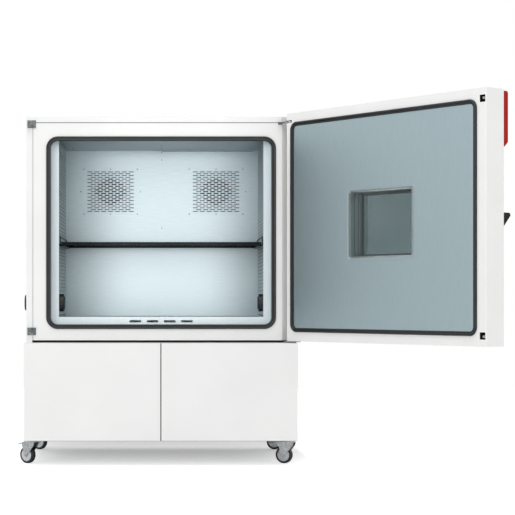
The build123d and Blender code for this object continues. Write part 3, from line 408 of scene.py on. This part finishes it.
def makeWindowTrim():
    # The folded edge of the door's inner sheet stands up round the window as a flat bead
    low, high = doorFrameOf("window_panes")
    size, middle = high - low, (low + high) / 2
    profile = [(-13, 0.2), (-12.2, 1.3), (-2, 1.6), (-0.6, 0.9), (-0.6, 0.2)]

    def place(x, z, forward):
        return onDoor(middle.x + x, high.y + forward, middle.z + z)

    bm = bmesh.new()
    sweepRing(bm, roundedPath(size.x, size.z, 8, 6), profile, place)
    return finishMesh("windowTrim", bm, "doorSteel", "door")


def makeWindowPanes():
    # The node's panes as two pieces: the outermost one on the closed door is the grey pane
    turn = Matrix.Rotation(-openAngle, 3, "Z")
    bm = bmesh.new()
    bm.from_mesh(nodes["window_panes"].data)
    bmesh.ops.remove_doubles(bm, verts=bm.verts, dist=0.000001)
    bm.verts.index_update()
    depths = [(turn @ (vert.co - hingePlace)).y for vert in bm.verts]
    edge = min(depths) + outerPaneDepth
    for name, finish, isOuter in (("outerPane", "greyGlass", True), ("innerPanes", "glass", False)):
        part = bm.copy()
        dropped = [vert for vert in part.verts if (depths[vert.index] < edge) != isOuter]
        bmesh.ops.delete(part, geom=dropped, context="VERTS")
        replaced = ["window_panes"] if isOuter else ()
        pane = finishMesh(name, part, finish, "door", replaced)
        pane.data.shade_flat()  # with smooth shading a fold shows across each pane
    bm.free()


makeCabinetSeal()
makeDoorSeal()
makeWindowTrim()
makeWindowPanes()
print("seals and window trim made")


# Geometry Nodes: one tree puts a copy of a small mesh on every point of a piece

def copyTree(finish):
    tree = bpy.data.node_groups.new("copiesOnPoints", "GeometryNodeTree")
    tree.interface.new_socket("Geometry", in_out="INPUT", socket_type="NodeSocketGeometry")
    tree.interface.new_socket("Copy", in_out="INPUT", socket_type="NodeSocketObject")
    tree.interface.new_socket("Size", in_out="INPUT", socket_type="NodeSocketFloat")
    tree.interface.new_socket("Geometry", in_out="OUTPUT", socket_type="NodeSocketGeometry")
    start = tree.nodes.new("NodeGroupInput")
    end = tree.nodes.new("NodeGroupOutput")
    source = addNode(tree, "GeometryNodeObjectInfo", Object=start.outputs["Copy"])
    points = addNode(tree, "GeometryNodeMeshToPoints", Mesh=start.outputs["Geometry"])
    turn = addNode(tree, "GeometryNodeInputNamedAttribute", {"data_type": "FLOAT_VECTOR", "Name": "turn"})
    copies = addNode(tree, "GeometryNodeInstanceOnPoints", Points=points.outputs["Points"],
                     Instance=source.outputs["Geometry"], Rotation=turn.outputs["Attribute"],
                     Scale=start.outputs["Size"])
    real = addNode(tree, "GeometryNodeRealizeInstances", Geometry=copies.outputs["Instances"])
    painted = addNode(tree, "GeometryNodeSetMaterial", {"Material": finishes[finish]},
                      Geometry=real.outputs["Geometry"])
    tree.links.new(painted.outputs["Geometry"], end.inputs["Geometry"])
    return tree


def makeCopies(name, source, places, finish, body, replaced=(), size=1.0):
    # places are (point in the world, Euler turn)
    mesh = bpy.data.meshes.new(name + "Points")
    mesh.from_pydata([place for place, turn in places], [], [])
    turns = mesh.attributes.new("turn", "FLOAT_VECTOR", "POINT")
    for i, (place, turn) in enumerate(places):
        turns.data[i].vector = turn
    carrier = bpy.data.objects.new(name + "Points", mesh)
    bpy.context.scene.collection.objects.link(carrier)
    modifier = carrier.modifiers.new("copies", "NODES")
    tree = copyTree(finish)
    modifier.node_group = tree
    sockets = {item.name: item.identifier for item in tree.interface.items_tree if item.in_out == "INPUT"}
    modifier[sockets["Copy"]] = source
    modifier[sockets["Size"]] = size
    evaluated = carrier.evaluated_get(bpy.context.evaluated_depsgraph_get())
    result = bpy.data.meshes.new_from_object(evaluated)
    bpy.data.objects.remove(carrier)
    piece = bpy.data.objects.new(name, result)
    bpy.context.scene.collection.objects.link(piece)
    dress(piece, finish)
    for polygon in result.polygons:
        polygon.use_smooth = True
    result.set_sharp_from_angle(angle=math.radians(35))
    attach(piece, body)
    if replaced:
        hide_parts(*replaced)
    return piece


def sourceMesh(name, bm):
    bmesh.ops.remove_doubles(bm, verts=bm.verts, dist=0.000001)
    bmesh.ops.recalc_face_normals(bm, faces=bm.faces)
    mesh = bpy.data.meshes.new(name)
    bm.to_mesh(mesh)
    bm.free()
    return bpy.data.objects.new(name, mesh)


screwHead = {"radius": 4.2, "height": 2.4, "socket": 1.9, "depth": 1.3, "segments": 24}


def makeScrewHead():
    # A button head with a hexagon socket, its axis along +Z and its seat at zero
    r, h = screwHead["radius"], screwHead["height"]
    segments = screwHead["segments"]

    def place(x, y, along):
        return Vector((x, y, along)) / 1000

    bm = bmesh.new()
    dome = [(r, 0), (r, h * 0.3), (r * 0.92, h * 0.62), (r * 0.72, h * 0.9), (r * 0.56, h)]
    lathe(bm, dome, place, segments)
    bm.verts.ensure_lookup_table()
    rim = [v for v in bm.verts if abs(v.co.z * 1000 - h) < 1e-6]
    socketTop, socketFloor = [], []
    for k in range(segments):
        angle = 2 * math.pi * k / segments
        within = (angle % (math.pi / 3)) - math.pi / 6
        reach = screwHead["socket"] * math.cos(math.pi / 6) / math.cos(within)
        x, y = reach * math.cos(angle), reach * math.sin(angle)
        socketTop.append(bm.verts.new(place(x, y, h)))
        socketFloor.append(bm.verts.new(place(x, y, h - screwHead["depth"])))
    rim.sort(key=lambda v: math.atan2(v.co.y, v.co.x) % (2 * math.pi))
    for k in range(segments):
        j = (k + 1) % segments
        bm.faces.new((rim[k], rim[j], socketTop[j], socketTop[k]))
        bm.faces.new((socketTop[k], socketTop[j], socketFloor[j], socketFloor[k]))
    bm.faces.new(socketFloor)
    bm.faces.new([v for v in bm.verts if v.co.z == 0 and abs(v.co.length * 1000 - r) < 1e-3])
    return sourceMesh("screwHead", bm)


forwardTurn = (math.radians(90), 0, 0)  # a screw that faces the open front
backwardTurn = (math.radians(-90), 0, 0)
downTurn = (math.radians(180), 0, 0)

chamberScrews = {
    "wall": [(161.7, 152.8), (161.7, 160), (161.7, 228), (80.6, 191.7), (140.4, 191.7), (245.7, 191.7)],
    "ceilingX": (0, 0, -547, 547),
    "ceilingY": (317, 530, 510, 510),
}
strikerScrews = {
    # m, apart from the size, which is a share of the other screws'
    "inset": 0.008, "near": 0.007, "far": 0.037, "seat": 0.004, "size": 0.8,
}
linerSheet = 0.002  # m
rearScrews = {"inset": 0.03, "lowerInset": 0.02, "perRow": 6}  # m, apart from the number
grille = {
    # mm, apart from the inlet's radius in m
    "pitchX": 43.0, "pitchZ": 11.2, "slotWidth": 33.0, "slotHeight": 5.6, "inletSlotHeight": 8.0,
    "rows": 23, "columns": 7, "sheet": 1.5, "screwX": 167.0, "screwZ": 140.0, "inlet": 0.088,
}


jointStrip = {
    # m
    "proud": 0.0008, "lid": 0.0035, "flange": 0.006, "ceiling": 0.0025, "ceilingDrop": 0.004,
    "ceilingEnd": 0.03, "panelSet": 0.0015, "panelDepth": 0.003, "panelPlay": 0.0002,
}
cornerTrim = {
    # m; width is the bent corner's own, and the sheet stays within it by the edges' values
    "width": 0.047, "gap": 0.0002, "sheet": 0.0005, "innerEdge": 0.004, "outerEdge": 0.012,
    "bottomEdge": 0.004, "topEdge": 0.001,
}
baffle = {
    # m
    "pitch": 0.021, "slot": 0.004, "depth": 0.0006, "rise": 0.0025, "margin": 0.03, "portClear": 0.07,
}
inletShadeRing = {"inner": 0.081, "outer": 0.097, "play": 0.00001, "thickness": 0.00002}  # m
slotShadePlay = 0.00004  # m
roundSegments = 64
crossWire = {"radius": 0.0022, "pitch": 0.02, "inset": 0.004, "lift": 0.0045}  # m


def boxCentre(name):
    low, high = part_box(name)
    return (low + high) / 2


def fanCentres():
    return [boxCentre(name) for name in ("fan_impeller_left", "fan_impeller_right")]


def makeScrews():
    head = makeScrewHead()
    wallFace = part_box("rear_wall")[0].y
    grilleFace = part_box("fan_grilles")[0].y
    depth = (wallFace - cabinetOrigin.y) * 1000
    places = [(millimetres(*throughPixel(px, py, depth)), forwardTurn) for px, py in chamberScrews["wall"]]
    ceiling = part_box("chamber_liner")[1].z - linerSheet
    for x, y in zip(chamberScrews["ceilingX"], chamberScrews["ceilingY"]):
        spot = millimetres(x, y, 0)
        places.append((Vector((spot.x, spot.y, ceiling)), downTurn))
    for centre in fanCentres():
        for sideX in (-1, 0, 1):
            for sideZ in (-1, 1):
                places.append((Vector((centre.x + sideX * grille["screwX"] / 1000, grilleFace,
                                       centre.z + sideZ * grille["screwZ"] / 1000)), forwardTurn))
    makeCopies("chamberScrews", head, places, "castZinc", "cabinet")
    low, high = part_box("casing_back")
    lowerLow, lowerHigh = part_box("lower_rear_panel")
    rear = []
    inset, lowerInset, perRow = rearScrews["inset"], rearScrews["lowerInset"], rearScrews["perRow"]
    for z in (low.z + inset, (low.z + high.z) / 2, high.z - inset, lowerHigh.z - lowerInset,
              lowerLow.z + lowerInset):
        for k in range(perRow):
            x = low.x + inset + (high.x - low.x - 2 * inset) * k / (perRow - 1)
            rear.append((Vector((x, high.y, z)), backwardTurn))
    makeCopies("rearPanelScrews", head, rear, "castZinc", "cabinet")
    low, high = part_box("strikers")
    striker = []
    near, far, inset = strikerScrews["near"], strikerScrews["far"], strikerScrews["inset"]
    for z in (low.z + near, low.z + far, high.z - far, high.z - near):
        for x in (low.x + inset, high.x - inset):
            striker.append((Vector((x, high.y - strikerScrews["seat"], z)), forwardTurn))
    makeCopies("strikerScrews", head, striker, "castZinc", "cabinet",
               size=strikerScrews["size"])


def makeGrilleCell(slotHeight):
    # One cell of perforated sheet: a rectangle of the pitch with a round-ended slot through it
    halfX, halfZ = grille["pitchX"] / 2, grille["pitchZ"] / 2
    end = slotHeight / 2
    straight = grille["slotWidth"] / 2 - end
    sheet = grille["sheet"]
    slot = []
    for side in (1, -1):
        for k in range(5):
            angle = math.radians(-90 + 45 * k)
            slot.append((side * (straight + end * math.cos(angle)), side * end * math.sin(angle)))
    outer = [(halfX, -halfZ), (halfX, -halfZ / 2), (halfX, 0), (halfX, halfZ / 2), (halfX, halfZ),
             (-halfX, halfZ), (-halfX, halfZ / 2), (-halfX, 0), (-halfX, -halfZ / 2), (-halfX, -halfZ)]
    bm = bmesh.new()
    layers = []
    for y in (0, sheet):
        layers.append([[bm.verts.new(Vector((x, y, z)) / 1000) for x, z in loop] for loop in (slot, outer)])
    for k in range(10):
        j = (k + 1) % 10
        for layer in layers:
            bm.faces.new((layer[0][k], layer[0][j], layer[1][j], layer[1][k]))
        bm.faces.new((layers[0][0][k], layers[0][0][j], layers[1][0][j], layers[1][0][k]))
    return sourceMesh("grilleCell", bm)


def makeGrilles():
    # The perforated fields are copies of one cell, every other row shifted by half a pitch
    low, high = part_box("fan_grilles")
    cells, openCells = [], []
    for centre in fanCentres():
        for row in range(grille["rows"]):
            count = grille["columns"] - row % 2
            z = centre.z + (row - (grille["rows"] - 1) / 2) * grille["pitchZ"] / 1000
            for column in range(count):
                x = centre.x + (column - (count - 1) / 2) * grille["pitchX"] / 1000
                overInlet = math.hypot(x - centre.x, z - centre.z) < grille["inlet"]
                (openCells if overInlet else cells).append((Vector((x, low.y, z)), (0, 0, 0)))
    makeCopies("perforatedFields", makeGrilleCell(grille["slotHeight"]), cells, "wall",
               "cabinet", ["fan_grilles"])
    makeCopies("inletFields", makeGrilleCell(grille["inletSlotHeight"]), openCells, "wall",
               "cabinet")
    bm = bmesh.new()
    plateX = (high.x - low.x - abs(fanCentres()[1].x - fanCentres()[0].x)) * 500
    plateZ = (high.z - low.z) * 500
    fieldX = grille["pitchX"] * grille["columns"] / 2
    fieldZ = grille["pitchZ"] * grille["rows"] / 2
    for centre in fanCentres():
        rim = [(-plateX, -plateZ, plateX, -fieldZ), (-plateX, fieldZ, plateX, plateZ),
               (-plateX, -fieldZ, -fieldX, fieldZ), (fieldX, -fieldZ, plateX, fieldZ)]
        for row in range(1, grille["rows"], 2):
            z = (row - (grille["rows"] - 1) / 2) * grille["pitchZ"]
            for side in (-1, 1):
                inner, outer = sorted((side * (fieldX - grille["pitchX"] / 2), side * fieldX))
                rim.append((inner, z - grille["pitchZ"] / 2, outer, z + grille["pitchZ"] / 2))
        for x0, z0, x1, z1 in rim:
            outline = ((x0, z0), (x1, z0), (x1, z1), (x0, z1))
            corners = [(x, y, z) for y in (0, grille["sheet"]) for x, z in outline]
            verts = [bm.verts.new(Vector((centre.x + x / 1000, low.y + y / 1000, centre.z + z / 1000)))
                     for x, y, z in corners]
            for face in ((0, 1, 2, 3), (7, 6, 5, 4), (0, 4, 5, 1), (1, 5, 6, 2), (2, 6, 7, 3), (3, 7, 4, 0)):
                bm.faces.new([verts[i] for i in face])
    finishMesh("grilleRims", bm, "wall", "cabinet")


def addBox(bm, low, high):
    corners = [(x, y, z) for z in (low[2], high[2]) for y in (low[1], high[1]) for x in (low[0], high[0])]
    verts = [bm.verts.new(corner) for corner in corners]
    for face in ((0, 1, 3, 2), (4, 6, 7, 5), (0, 4, 5, 1), (1, 5, 7, 3), (3, 7, 6, 2), (2, 6, 4, 0)):
        bm.faces.new([verts[i] for i in face])


def makeSeamShades():
    # Thin strips of painted shade in the seams: a dark one under the lid, a pale grey one beside the left
    # flange and a dark one on the rear wall under the ceiling
    frameLow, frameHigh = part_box("front_frame")
    front, proud = frameLow.y, jointStrip["proud"]
    bm = bmesh.new()
    addBox(bm, (frameLow.x, front - proud, frameHigh.z - jointStrip["lid"]),
           (frameHigh.x - cornerTrim["width"], front, frameHigh.z))
    finishMesh("lidJointStrip", bm, "seamShadeDark", "cabinet")
    bm = bmesh.new()
    addBox(bm, (frameLow.x, front - proud / 2, frameLow.z),
           (frameLow.x + jointStrip["flange"], front, frameHigh.z))
    finishMesh("flangeJointStrip", bm, "seamShadePale", "cabinet")
    wallLow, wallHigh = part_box("rear_wall")
    middle = (wallLow.x + wallHigh.x) / 2
    bm = bmesh.new()
    top = wallHigh.z - jointStrip["ceilingDrop"]
    addBox(bm, (middle, wallLow.y - proud, top - jointStrip["ceiling"]),
           (wallHigh.x - jointStrip["ceilingEnd"], wallLow.y, top))
    finishMesh("ceilingJointStrip", bm, "seamShadeDark", "cabinet")


def makeCornerShadeSheet():
    # A thin sheet over the bent-back right corner, greyer than the rest of the casing: painted shade for the
    # corner beside the open door
    frameLow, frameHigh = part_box("front_frame")
    outer = Vector((frameHigh.x, frameHigh.y))
    inner = Vector((frameHigh.x - cornerTrim["width"], frameLow.y))
    along = (outer - inner).normalized()
    away = Vector((along.y, -along.x))
    gap = away * cornerTrim["gap"]
    outline = [inner + along * cornerTrim["innerEdge"] + gap, outer - along * cornerTrim["outerEdge"] + gap]
    outline += [point + away * cornerTrim["sheet"] for point in reversed(outline)]
    bm = bmesh.new()
    rings = [[bm.verts.new((point.x, point.y, z)) for point in outline]
             for z in (frameLow.z + cornerTrim["bottomEdge"], frameHigh.z - cornerTrim["topEdge"])]
    for k in range(4):
        j = (k + 1) % 4
        bm.faces.new((rings[0][k], rings[0][j], rings[1][j], rings[1][k]))
    bm.faces.new(rings[0])
    bm.faces.new(rings[1])
    finishMesh("cornerTrim", bm, "cornerShadeEnamel", "cabinet")


def makeBaffleSlotShades():
    # Dark boxes between the ribs of both side baffles: painted shade for the dark inside of their air slots
    low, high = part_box("side_baffle_left")
    half = Vector((baffle["depth"], high.y - low.y - 2 * baffle["margin"], baffle["slot"])) / 2
    bm = bmesh.new()
    addBox(bm, -half, half)
    slot = sourceMesh("baffleSlot", bm)
    count = int((high.z - low.z - 2 * baffle["margin"]) / baffle["pitch"]) - 1
    portHeight = boxCentre("port_plug_left").z
    places = []
    for name, side in (("side_baffle_left", 1), ("side_baffle_right", -1)):
        low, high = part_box(name)
        face = (high.x if side == 1 else low.x) - side * (baffle["rise"] - baffle["depth"] / 2)
        for k in range(count):
            z = (low.z + high.z) / 2 + (k - (count - 1) / 2) * baffle["pitch"]
            if abs(z - portHeight) > baffle["portClear"]:
                places.append((Vector((face, (low.y + high.y) / 2, z)), (0, 0, 0)))
    makeCopies("baffleSlots", slot, places, "slotShade", "cabinet")


def makeInletShadeRings():
    # A black ring behind each perforated field, round the fan's inlet: painted shade for the dark gap round
    # the inlet
    bm = bmesh.new()
    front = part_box("fan_grilles")[1].y + inletShadeRing["play"]
    back = front + inletShadeRing["thickness"]
    inner, outer = inletShadeRing["inner"], inletShadeRing["outer"]
    for centre in fanCentres():

        def place(x, y, along):
            return Vector((centre.x + x, along, centre.z + y))

        ring = [(inner, front), (outer, front), (outer, back), (inner, back), (inner, front)]
        lathe(bm, ring, place, roundSegments)
    finishMesh("inletTapes", bm, "motor", "cabinet")


def makeShelfWires():
    # Cross wires are welded under the shelf's long wires, from one side to the other
    low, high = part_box("shelf")
    inset, radius = crossWire["inset"], crossWire["radius"]
    length = high.x - low.x - 2 * inset
    bm = bmesh.new()

    def place(x, y, along):
        return Vector((along, x, y))

    lathe(bm, [(0, 0), (radius, 0), (radius, length), (0, length)], place, 10)
    wire = sourceMesh("crossWire", bm)
    run = high.y - low.y - 2 * inset
    count = int(run / crossWire["pitch"])
    first = low + Vector((inset, inset, crossWire["lift"]))
    places = [(first + Vector((0, run * k / count, 0)), (0, 0, 0)) for k in range(count + 1)]
    makeCopies("shelfCrossWires", wire, places, "rack", "shelf_rack")


def makeGrilleSlotShade():
    # A grey sheet between each perforated field and the wall, open over the fan's inlet: painted shade for
    # the dark duct that the slots look into
    low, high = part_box("fan_grilles")
    front, back = high.y + slotShadePlay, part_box("rear_wall")[0].y - slotShadePlay
    halfX = grille["pitchX"] * grille["columns"] / 2000
    halfZ = grille["pitchZ"] * grille["rows"] / 2000
    bm = bmesh.new()
    for centre in fanCentres():
        rings = []
        for y in (front, back):
            hole, edge = [], []
            middle = Vector((centre.x, y, centre.z))
            for k in range(roundSegments):
                angle = 2 * math.pi * k / roundSegments
                aside = Vector((math.cos(angle), 0, math.sin(angle)))
                reach = min(halfX / max(abs(aside.x), 1e-6), halfZ / max(abs(aside.z), 1e-6))
                hole.append(bm.verts.new(middle + aside * grille["inlet"]))
                edge.append(bm.verts.new(middle + aside * reach))
            rings.append((hole, edge))
        for k in range(roundSegments):
            j = (k + 1) % roundSegments
            for hole, edge in rings:
                bm.faces.new((hole[k], hole[j], edge[j], edge[k]))
            for near, far in zip(*rings):
                bm.faces.new((near[k], near[j], far[j], far[k]))
    finishMesh("filterCloths", bm, "slotShade", "cabinet")


def makePanelStrip():
    # A black rubber strip closes the joint between the two front panels over its whole height
    leftLow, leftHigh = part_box("service_panel_left")
    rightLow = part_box("service_panel_right")[0]
    front, play = leftLow.y + jointStrip["panelSet"], jointStrip["panelPlay"]
    bm = bmesh.new()
    addBox(bm, (leftHigh.x + play, front, leftLow.z),
           (rightLow.x - play, front + jointStrip["panelDepth"], leftHigh.z))
    finishMesh("panelJointStrip", bm, "sealRubber", "cabinet")


makeScrews()
makeGrilles()
makeSeamShades()
makeCornerShadeSheet()
makeBaffleSlotShades()
makeInletShadeRings()
makeShelfWires()
makeGrilleSlotShade()
makePanelStrip()
print("screws, grilles, strips and shelf wires made")


# Casters: a tyre on a grey wheel centre with a thread guard each side

casterWheel = {"radius": 50.0, "width": 32.0, "tread": 12.0, "guard": 31.0, "bore": 5.2}  # mm


def makeCasterWheels():
    radius, half = casterWheel["radius"], casterWheel["width"] / 2
    rim = radius - casterWheel["tread"]
    for corner in ("front_left", "front_right", "rear_left", "rear_right"):
        joint = jointByName["wheel_" + corner + "_roll"]
        centre, axle = Vector(joint["pos_m"]), Vector(joint["axis"])
        across = axle.cross(Vector((0, 0, 1)))

        def place(x, y, along):
            return centre + (across * x + Vector((0, 0, 1)) * y + axle * along) / 1000

        tyre = [(rim - 1, half - 1), (rim + 2, half), (radius - 3.5, half - 0.6), (radius - 1, half - 3.4),
                (radius, half - 8), (radius, 8 - half), (radius - 1, 3.4 - half), (radius - 3.5, 0.6 - half),
                (rim + 2, -half), (rim - 1, 1 - half)]
        bm = bmesh.new()
        lathe(bm, tyre + tyre[:1], place, roundSegments)
        finishMesh("tyre_" + corner, bm, "tyre", "wheel_" + corner, ["caster_wheel_" + corner])
        guard, bore = casterWheel["guard"], casterWheel["bore"]
        side = [(bore, half - 1.0), (12, half + 0.4), (14, half - 0.4), (guard, half - 0.8),
                (guard + 1.5, half - 2.5), (rim - 1.1, half - 2.0)]
        centreProfile = side + [(r, -a) for r, a in reversed(side)]
        bm = bmesh.new()
        lathe(bm, centreProfile + centreProfile[:1], place, roundSegments)
        finishMesh("wheelCentre_" + corner, bm, "wheelCentre", "wheel_" + corner)


makeCasterWheels()
print("wheels made")


# Room and light

studio = {
    "floorColor": "#F4F4F4",
    "shadowGlow": (0.02, 0.6),  # the floor's own light behind the cabinet and under its front edge
    "shadowReach": 1.6,  # how far back the first of these lies, in cabinet depths
    "shadowEdge": (0.79, 0.98),  # m from the cabinet's middle, where its shadow ends left and right
    "farEdge": (2.0, 3.0),  # m, from here the floor fades into the white background
    "worldLight": 0.65,
    "floorSize": 16.0,
}


def makeWorld():
    # Plain light for the object; the camera, metal and glass see a white background
    world = bpy.data.worlds.new("studio")
    bpy.context.scene.world = world
    world.use_nodes = True
    tree = world.node_tree
    background = tree.nodes["Background"]
    background.inputs["Color"].default_value = (1, 1, 1, 1)
    path = addNode(tree, "ShaderNodeLightPath")
    seen = addNode(tree, "ShaderNodeMath", {"operation": "MAXIMUM"})
    tree.links.new(path.outputs["Is Camera Ray"], seen.inputs[0])
    tree.links.new(path.outputs["Is Glossy Ray"], seen.inputs[1])
    through = addNode(tree, "ShaderNodeMath", {"operation": "MAXIMUM"})
    tree.links.new(seen.outputs[0], through.inputs[0])
    tree.links.new(path.outputs["Is Transmission Ray"], through.inputs[1])
    strength = addNode(tree, "ShaderNodeMapRange", {3: studio["worldLight"], 4: 1.0},
                       Value=through.outputs[0])
    tree.links.new(strength.outputs[0], background.inputs["Strength"])


def makeFloor():
    half = studio["floorSize"] / 2
    mesh = bpy.data.meshes.new("floor")
    corners = [(-half, -half, 0), (half, -half, 0), (half, half, 0), (-half, half, 0)]
    mesh.from_pydata(corners, [], [(0, 1, 2, 3)])
    floor = bpy.data.objects.new("floor", mesh)
    bpy.context.scene.collection.objects.link(floor)
    material, tree, principled = newMaterial("studioFloor", studio["floorColor"], roughness=0.9)
    principled.inputs["Specular IOR Level"].default_value = 0.0
    place = addNode(tree, "ShaderNodeTexCoord")
    fromMiddle = addNode(tree, "ShaderNodeVectorMath", {"operation": "SUBTRACT", 1: tuple(cabinetOrigin)})
    tree.links.new(place.outputs["Object"], fromMiddle.inputs[0])
    parts = addNode(tree, "ShaderNodeSeparateXYZ", Vector=fromMiddle.outputs[0])
    aside = addNode(tree, "ShaderNodeMath", {"operation": "ABSOLUTE"})
    tree.links.new(parts.outputs["X"], aside.inputs[0])
    distance = addNode(tree, "ShaderNodeVectorMath", {"operation": "LENGTH"})
    tree.links.new(fromMiddle.outputs[0], distance.inputs[0])
    # Painted light: for the camera the floor glows by place, faintly behind the cabinet, more under its front
    # edge and fully beside it and far off, so the glow paints the cabinet's shadow on the floor
    rearGlow, frontGlow = studio["shadowGlow"]
    depth = (nodes["casing_back"].data.vertices[0].co - cabinetOrigin).y
    glows = [
        addNode(tree, "ShaderNodeMapRange",
                {1: 0.0, 2: studio["shadowReach"] * depth, 3: frontGlow, 4: rearGlow},
                Value=parts.outputs["Y"]).outputs[0],
        addNode(tree, "ShaderNodeMapRange", {1: studio["shadowEdge"][0], 2: studio["shadowEdge"][1]},
                Value=aside.outputs[0]).outputs[0],
        addNode(tree, "ShaderNodeMapRange", {1: studio["farEdge"][0], 2: studio["farEdge"][1]},
                Value=distance.outputs["Value"]).outputs[0],
    ]
    fade = glows[0]
    for other in glows[1:]:
        larger = addNode(tree, "ShaderNodeMath", {"operation": "MAXIMUM"})
        tree.links.new(fade, larger.inputs[0])
        tree.links.new(other, larger.inputs[1])
        fade = larger.outputs[0]
    path = addNode(tree, "ShaderNodeLightPath")
    glow = addNode(tree, "ShaderNodeMath", {"operation": "MULTIPLY"})
    tree.links.new(path.outputs["Is Camera Ray"], glow.inputs[0])
    tree.links.new(fade, glow.inputs[1])
    principled.inputs["Emission Color"].default_value = (1, 1, 1, 1)
    tree.links.new(glow.outputs[0], principled.inputs["Emission Strength"])
    mesh.materials.append(material)


lamps = {
    # name: place and aim in mm from the cabinet, width and height in m, watts, spread in degrees
    "leftSoftbox": ((-4500, -7000, 3600), (0, 400, 1250), 3.0, 3.0, 105, 180),
    "rightSoftbox": ((5200, -4200, 2600), (1200, -700, 1200), 2.5, 2.5, 40, 180),
    "topSoftbox": ((-200, -2600, 6000), (0, -600, 0), 4.0, 4.0, 95, 180),
    "chamberSoftbox": ((20, -2300, 1490), (20, 0, 1490), 0.86, 1.32, 0.24, 12),
}


def makeLamps():
    for name, (place, aim, width, height, watts, spread) in lamps.items():
        data = bpy.data.lights.new(name, "AREA")
        data.shape = "RECTANGLE"
        data.size = width
        data.size_y = height
        data.energy = watts
        data.spread = math.radians(spread)
        lamp = bpy.data.objects.new(name, data)
        lamp.location = millimetres(*place)
        lamp.rotation_euler = (millimetres(*aim) - lamp.location).to_track_quat("-Z", "Y").to_euler()
        lamp.visible_camera = False
        bpy.context.scene.collection.objects.link(lamp)


makeWorld()
makeFloor()
makeLamps()
bpy.context.scene.view_settings.view_transform = "Standard"
print("room and light set")
